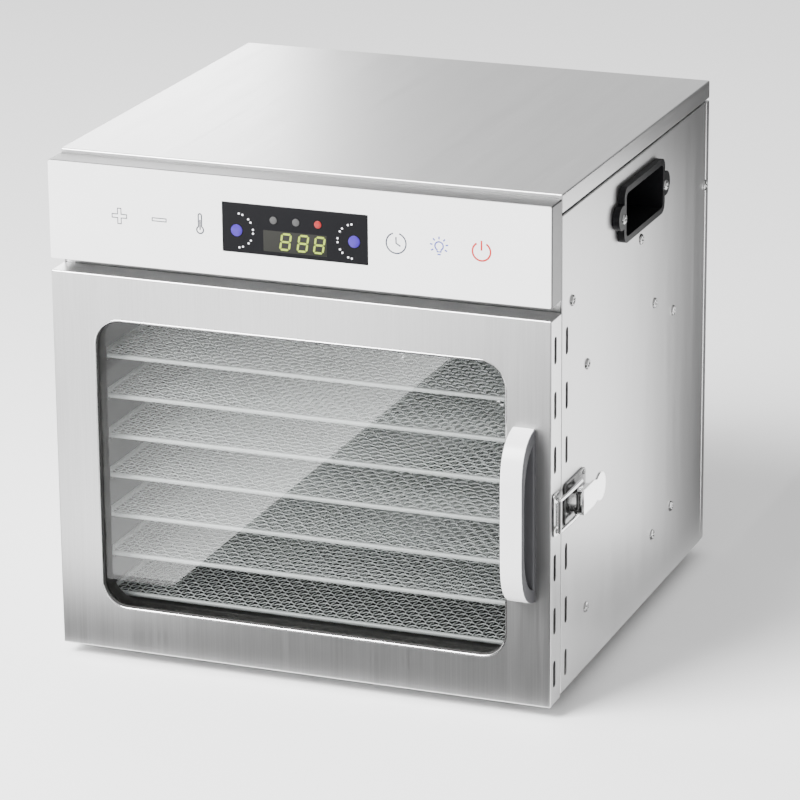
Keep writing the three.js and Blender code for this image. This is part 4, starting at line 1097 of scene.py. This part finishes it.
SIDE_SCREWS = [
    (-104.75, 243.4), (22.15, 245), (151.25, 245.1), (-77.35, 197.3), (50.15, 197.5),
    (87.85, 182), (-77.65, 47.5), (49.65, 48.8), (87.65, 54.7),
]
OUT_LEFT, OUT_RIGHT, OUT_BACK, DOWN = (-1, 0, 0), (1, 0, 0), (0, 1, 0), (0, 0, -1)
LARGE, MEDIUM, GUARD, LEAF, CATCH, LATCH = 3.4, 3.2, 2.6, 2.2, 1.7, 1.6
EAR_PROUD, EAR_HALF_SPACING = 4.45, 40
right_face, left_face = face_mm("right_side_panel", 0, 1), face_mm("left_side_panel", 0, 0)
case_screws, door_screws = [], []
for side, x, way in [("right", right_face, OUT_RIGHT), ("left", left_face, OUT_LEFT)]:
    case_screws += [((x, y, z), way, LARGE) for y, z in SIDE_SCREWS]
    ear, cup = x + way[0] * EAR_PROUD, side + "_carry_handle"
    y, z = middle_mm(cup, 1), middle_mm(cup, 2) - 1
    case_screws += [((ear, y + d, z), way, MEDIUM) for d in (-EAR_HALF_SPACING, EAR_HALF_SPACING)]

back, under = face_mm("back_panel", 1, 1), face_mm("bottom_panel", 2, 0)
BACK_SCREWS = [(x, z) for x in (-146, 146) for z in (20, 152, 286)] + [(x, 290) for x in (-60, 60)]
case_screws += [((x, back, z), OUT_BACK, MEDIUM) for x, z in BACK_SCREWS]

GUARD_WIRE, BEYOND_RING = 1.2, 6
guard_face, fan_level = face_mm("fan_guard", 1, 1) - GUARD_WIRE, middle_mm("fan_blade", 2)
eye = (face_mm("fan_guard", 0, 1) - GUARD_WIRE + BEYOND_RING) * math.sqrt(0.5)
for x in (-eye, eye):
    case_screws += [((x, guard_face, fan_level + z), OUT_BACK, GUARD) for z in (-eye, eye)]
case_screws += [((x, y, under), DOWN, MEDIUM) for x in (-146, 146) for y in (-60, 20, 100)]
print(len(case_screws), "screws in the case's sheets and handles")

# %% The screws of the latch and the hinges
latch_y, latch_z = face_mm("latch_base", 1, 1) - 3.4, middle_mm("latch_base", 2)
catch_y = middle_mm("latch_catch", 1)
case_screws += [((right_face + 1.5, latch_y, latch_z + d), OUT_RIGHT, LATCH) for d in (-10.4, 10.4)]
door_screws += [((right_face + 1.2, catch_y, latch_z + d), OUT_RIGHT, CATCH) for d in (-10, 10)]

LEAF_THICK, LEAF_EDGE, LEAF_HALF_SPACING = 1.5, 4.4, 11  # in millimetres
for end in ("upper", "lower"):
    for part, cloud in [("case", case_screws), ("door", door_screws)]:
        leaf = f"{end}_hinge_{part}_leaf"
        y = face_mm(leaf, 1, 1) - LEAF_EDGE if part == "case" else face_mm(leaf, 1, 0) + LEAF_EDGE
        for d in (-LEAF_HALF_SPACING, LEAF_HALF_SPACING):
            cloud.append(((left_face - LEAF_THICK, y, middle_mm(leaf, 2) + d), OUT_LEFT, LEAF))

screws = screw_tree()
for name, body, cloud in [("case_screws", "cabinet", case_screws), ("door_screws", "door", door_screws)]:
    heads = screws.run(name, point_cloud(name + "_points", cloud), Material=SCREW_STEEL_PAINTED_SHADE)
    settle(heads, body, "plated_steel")
    print(name, len(cloud), "heads,", len(heads.data.polygons), "faces")
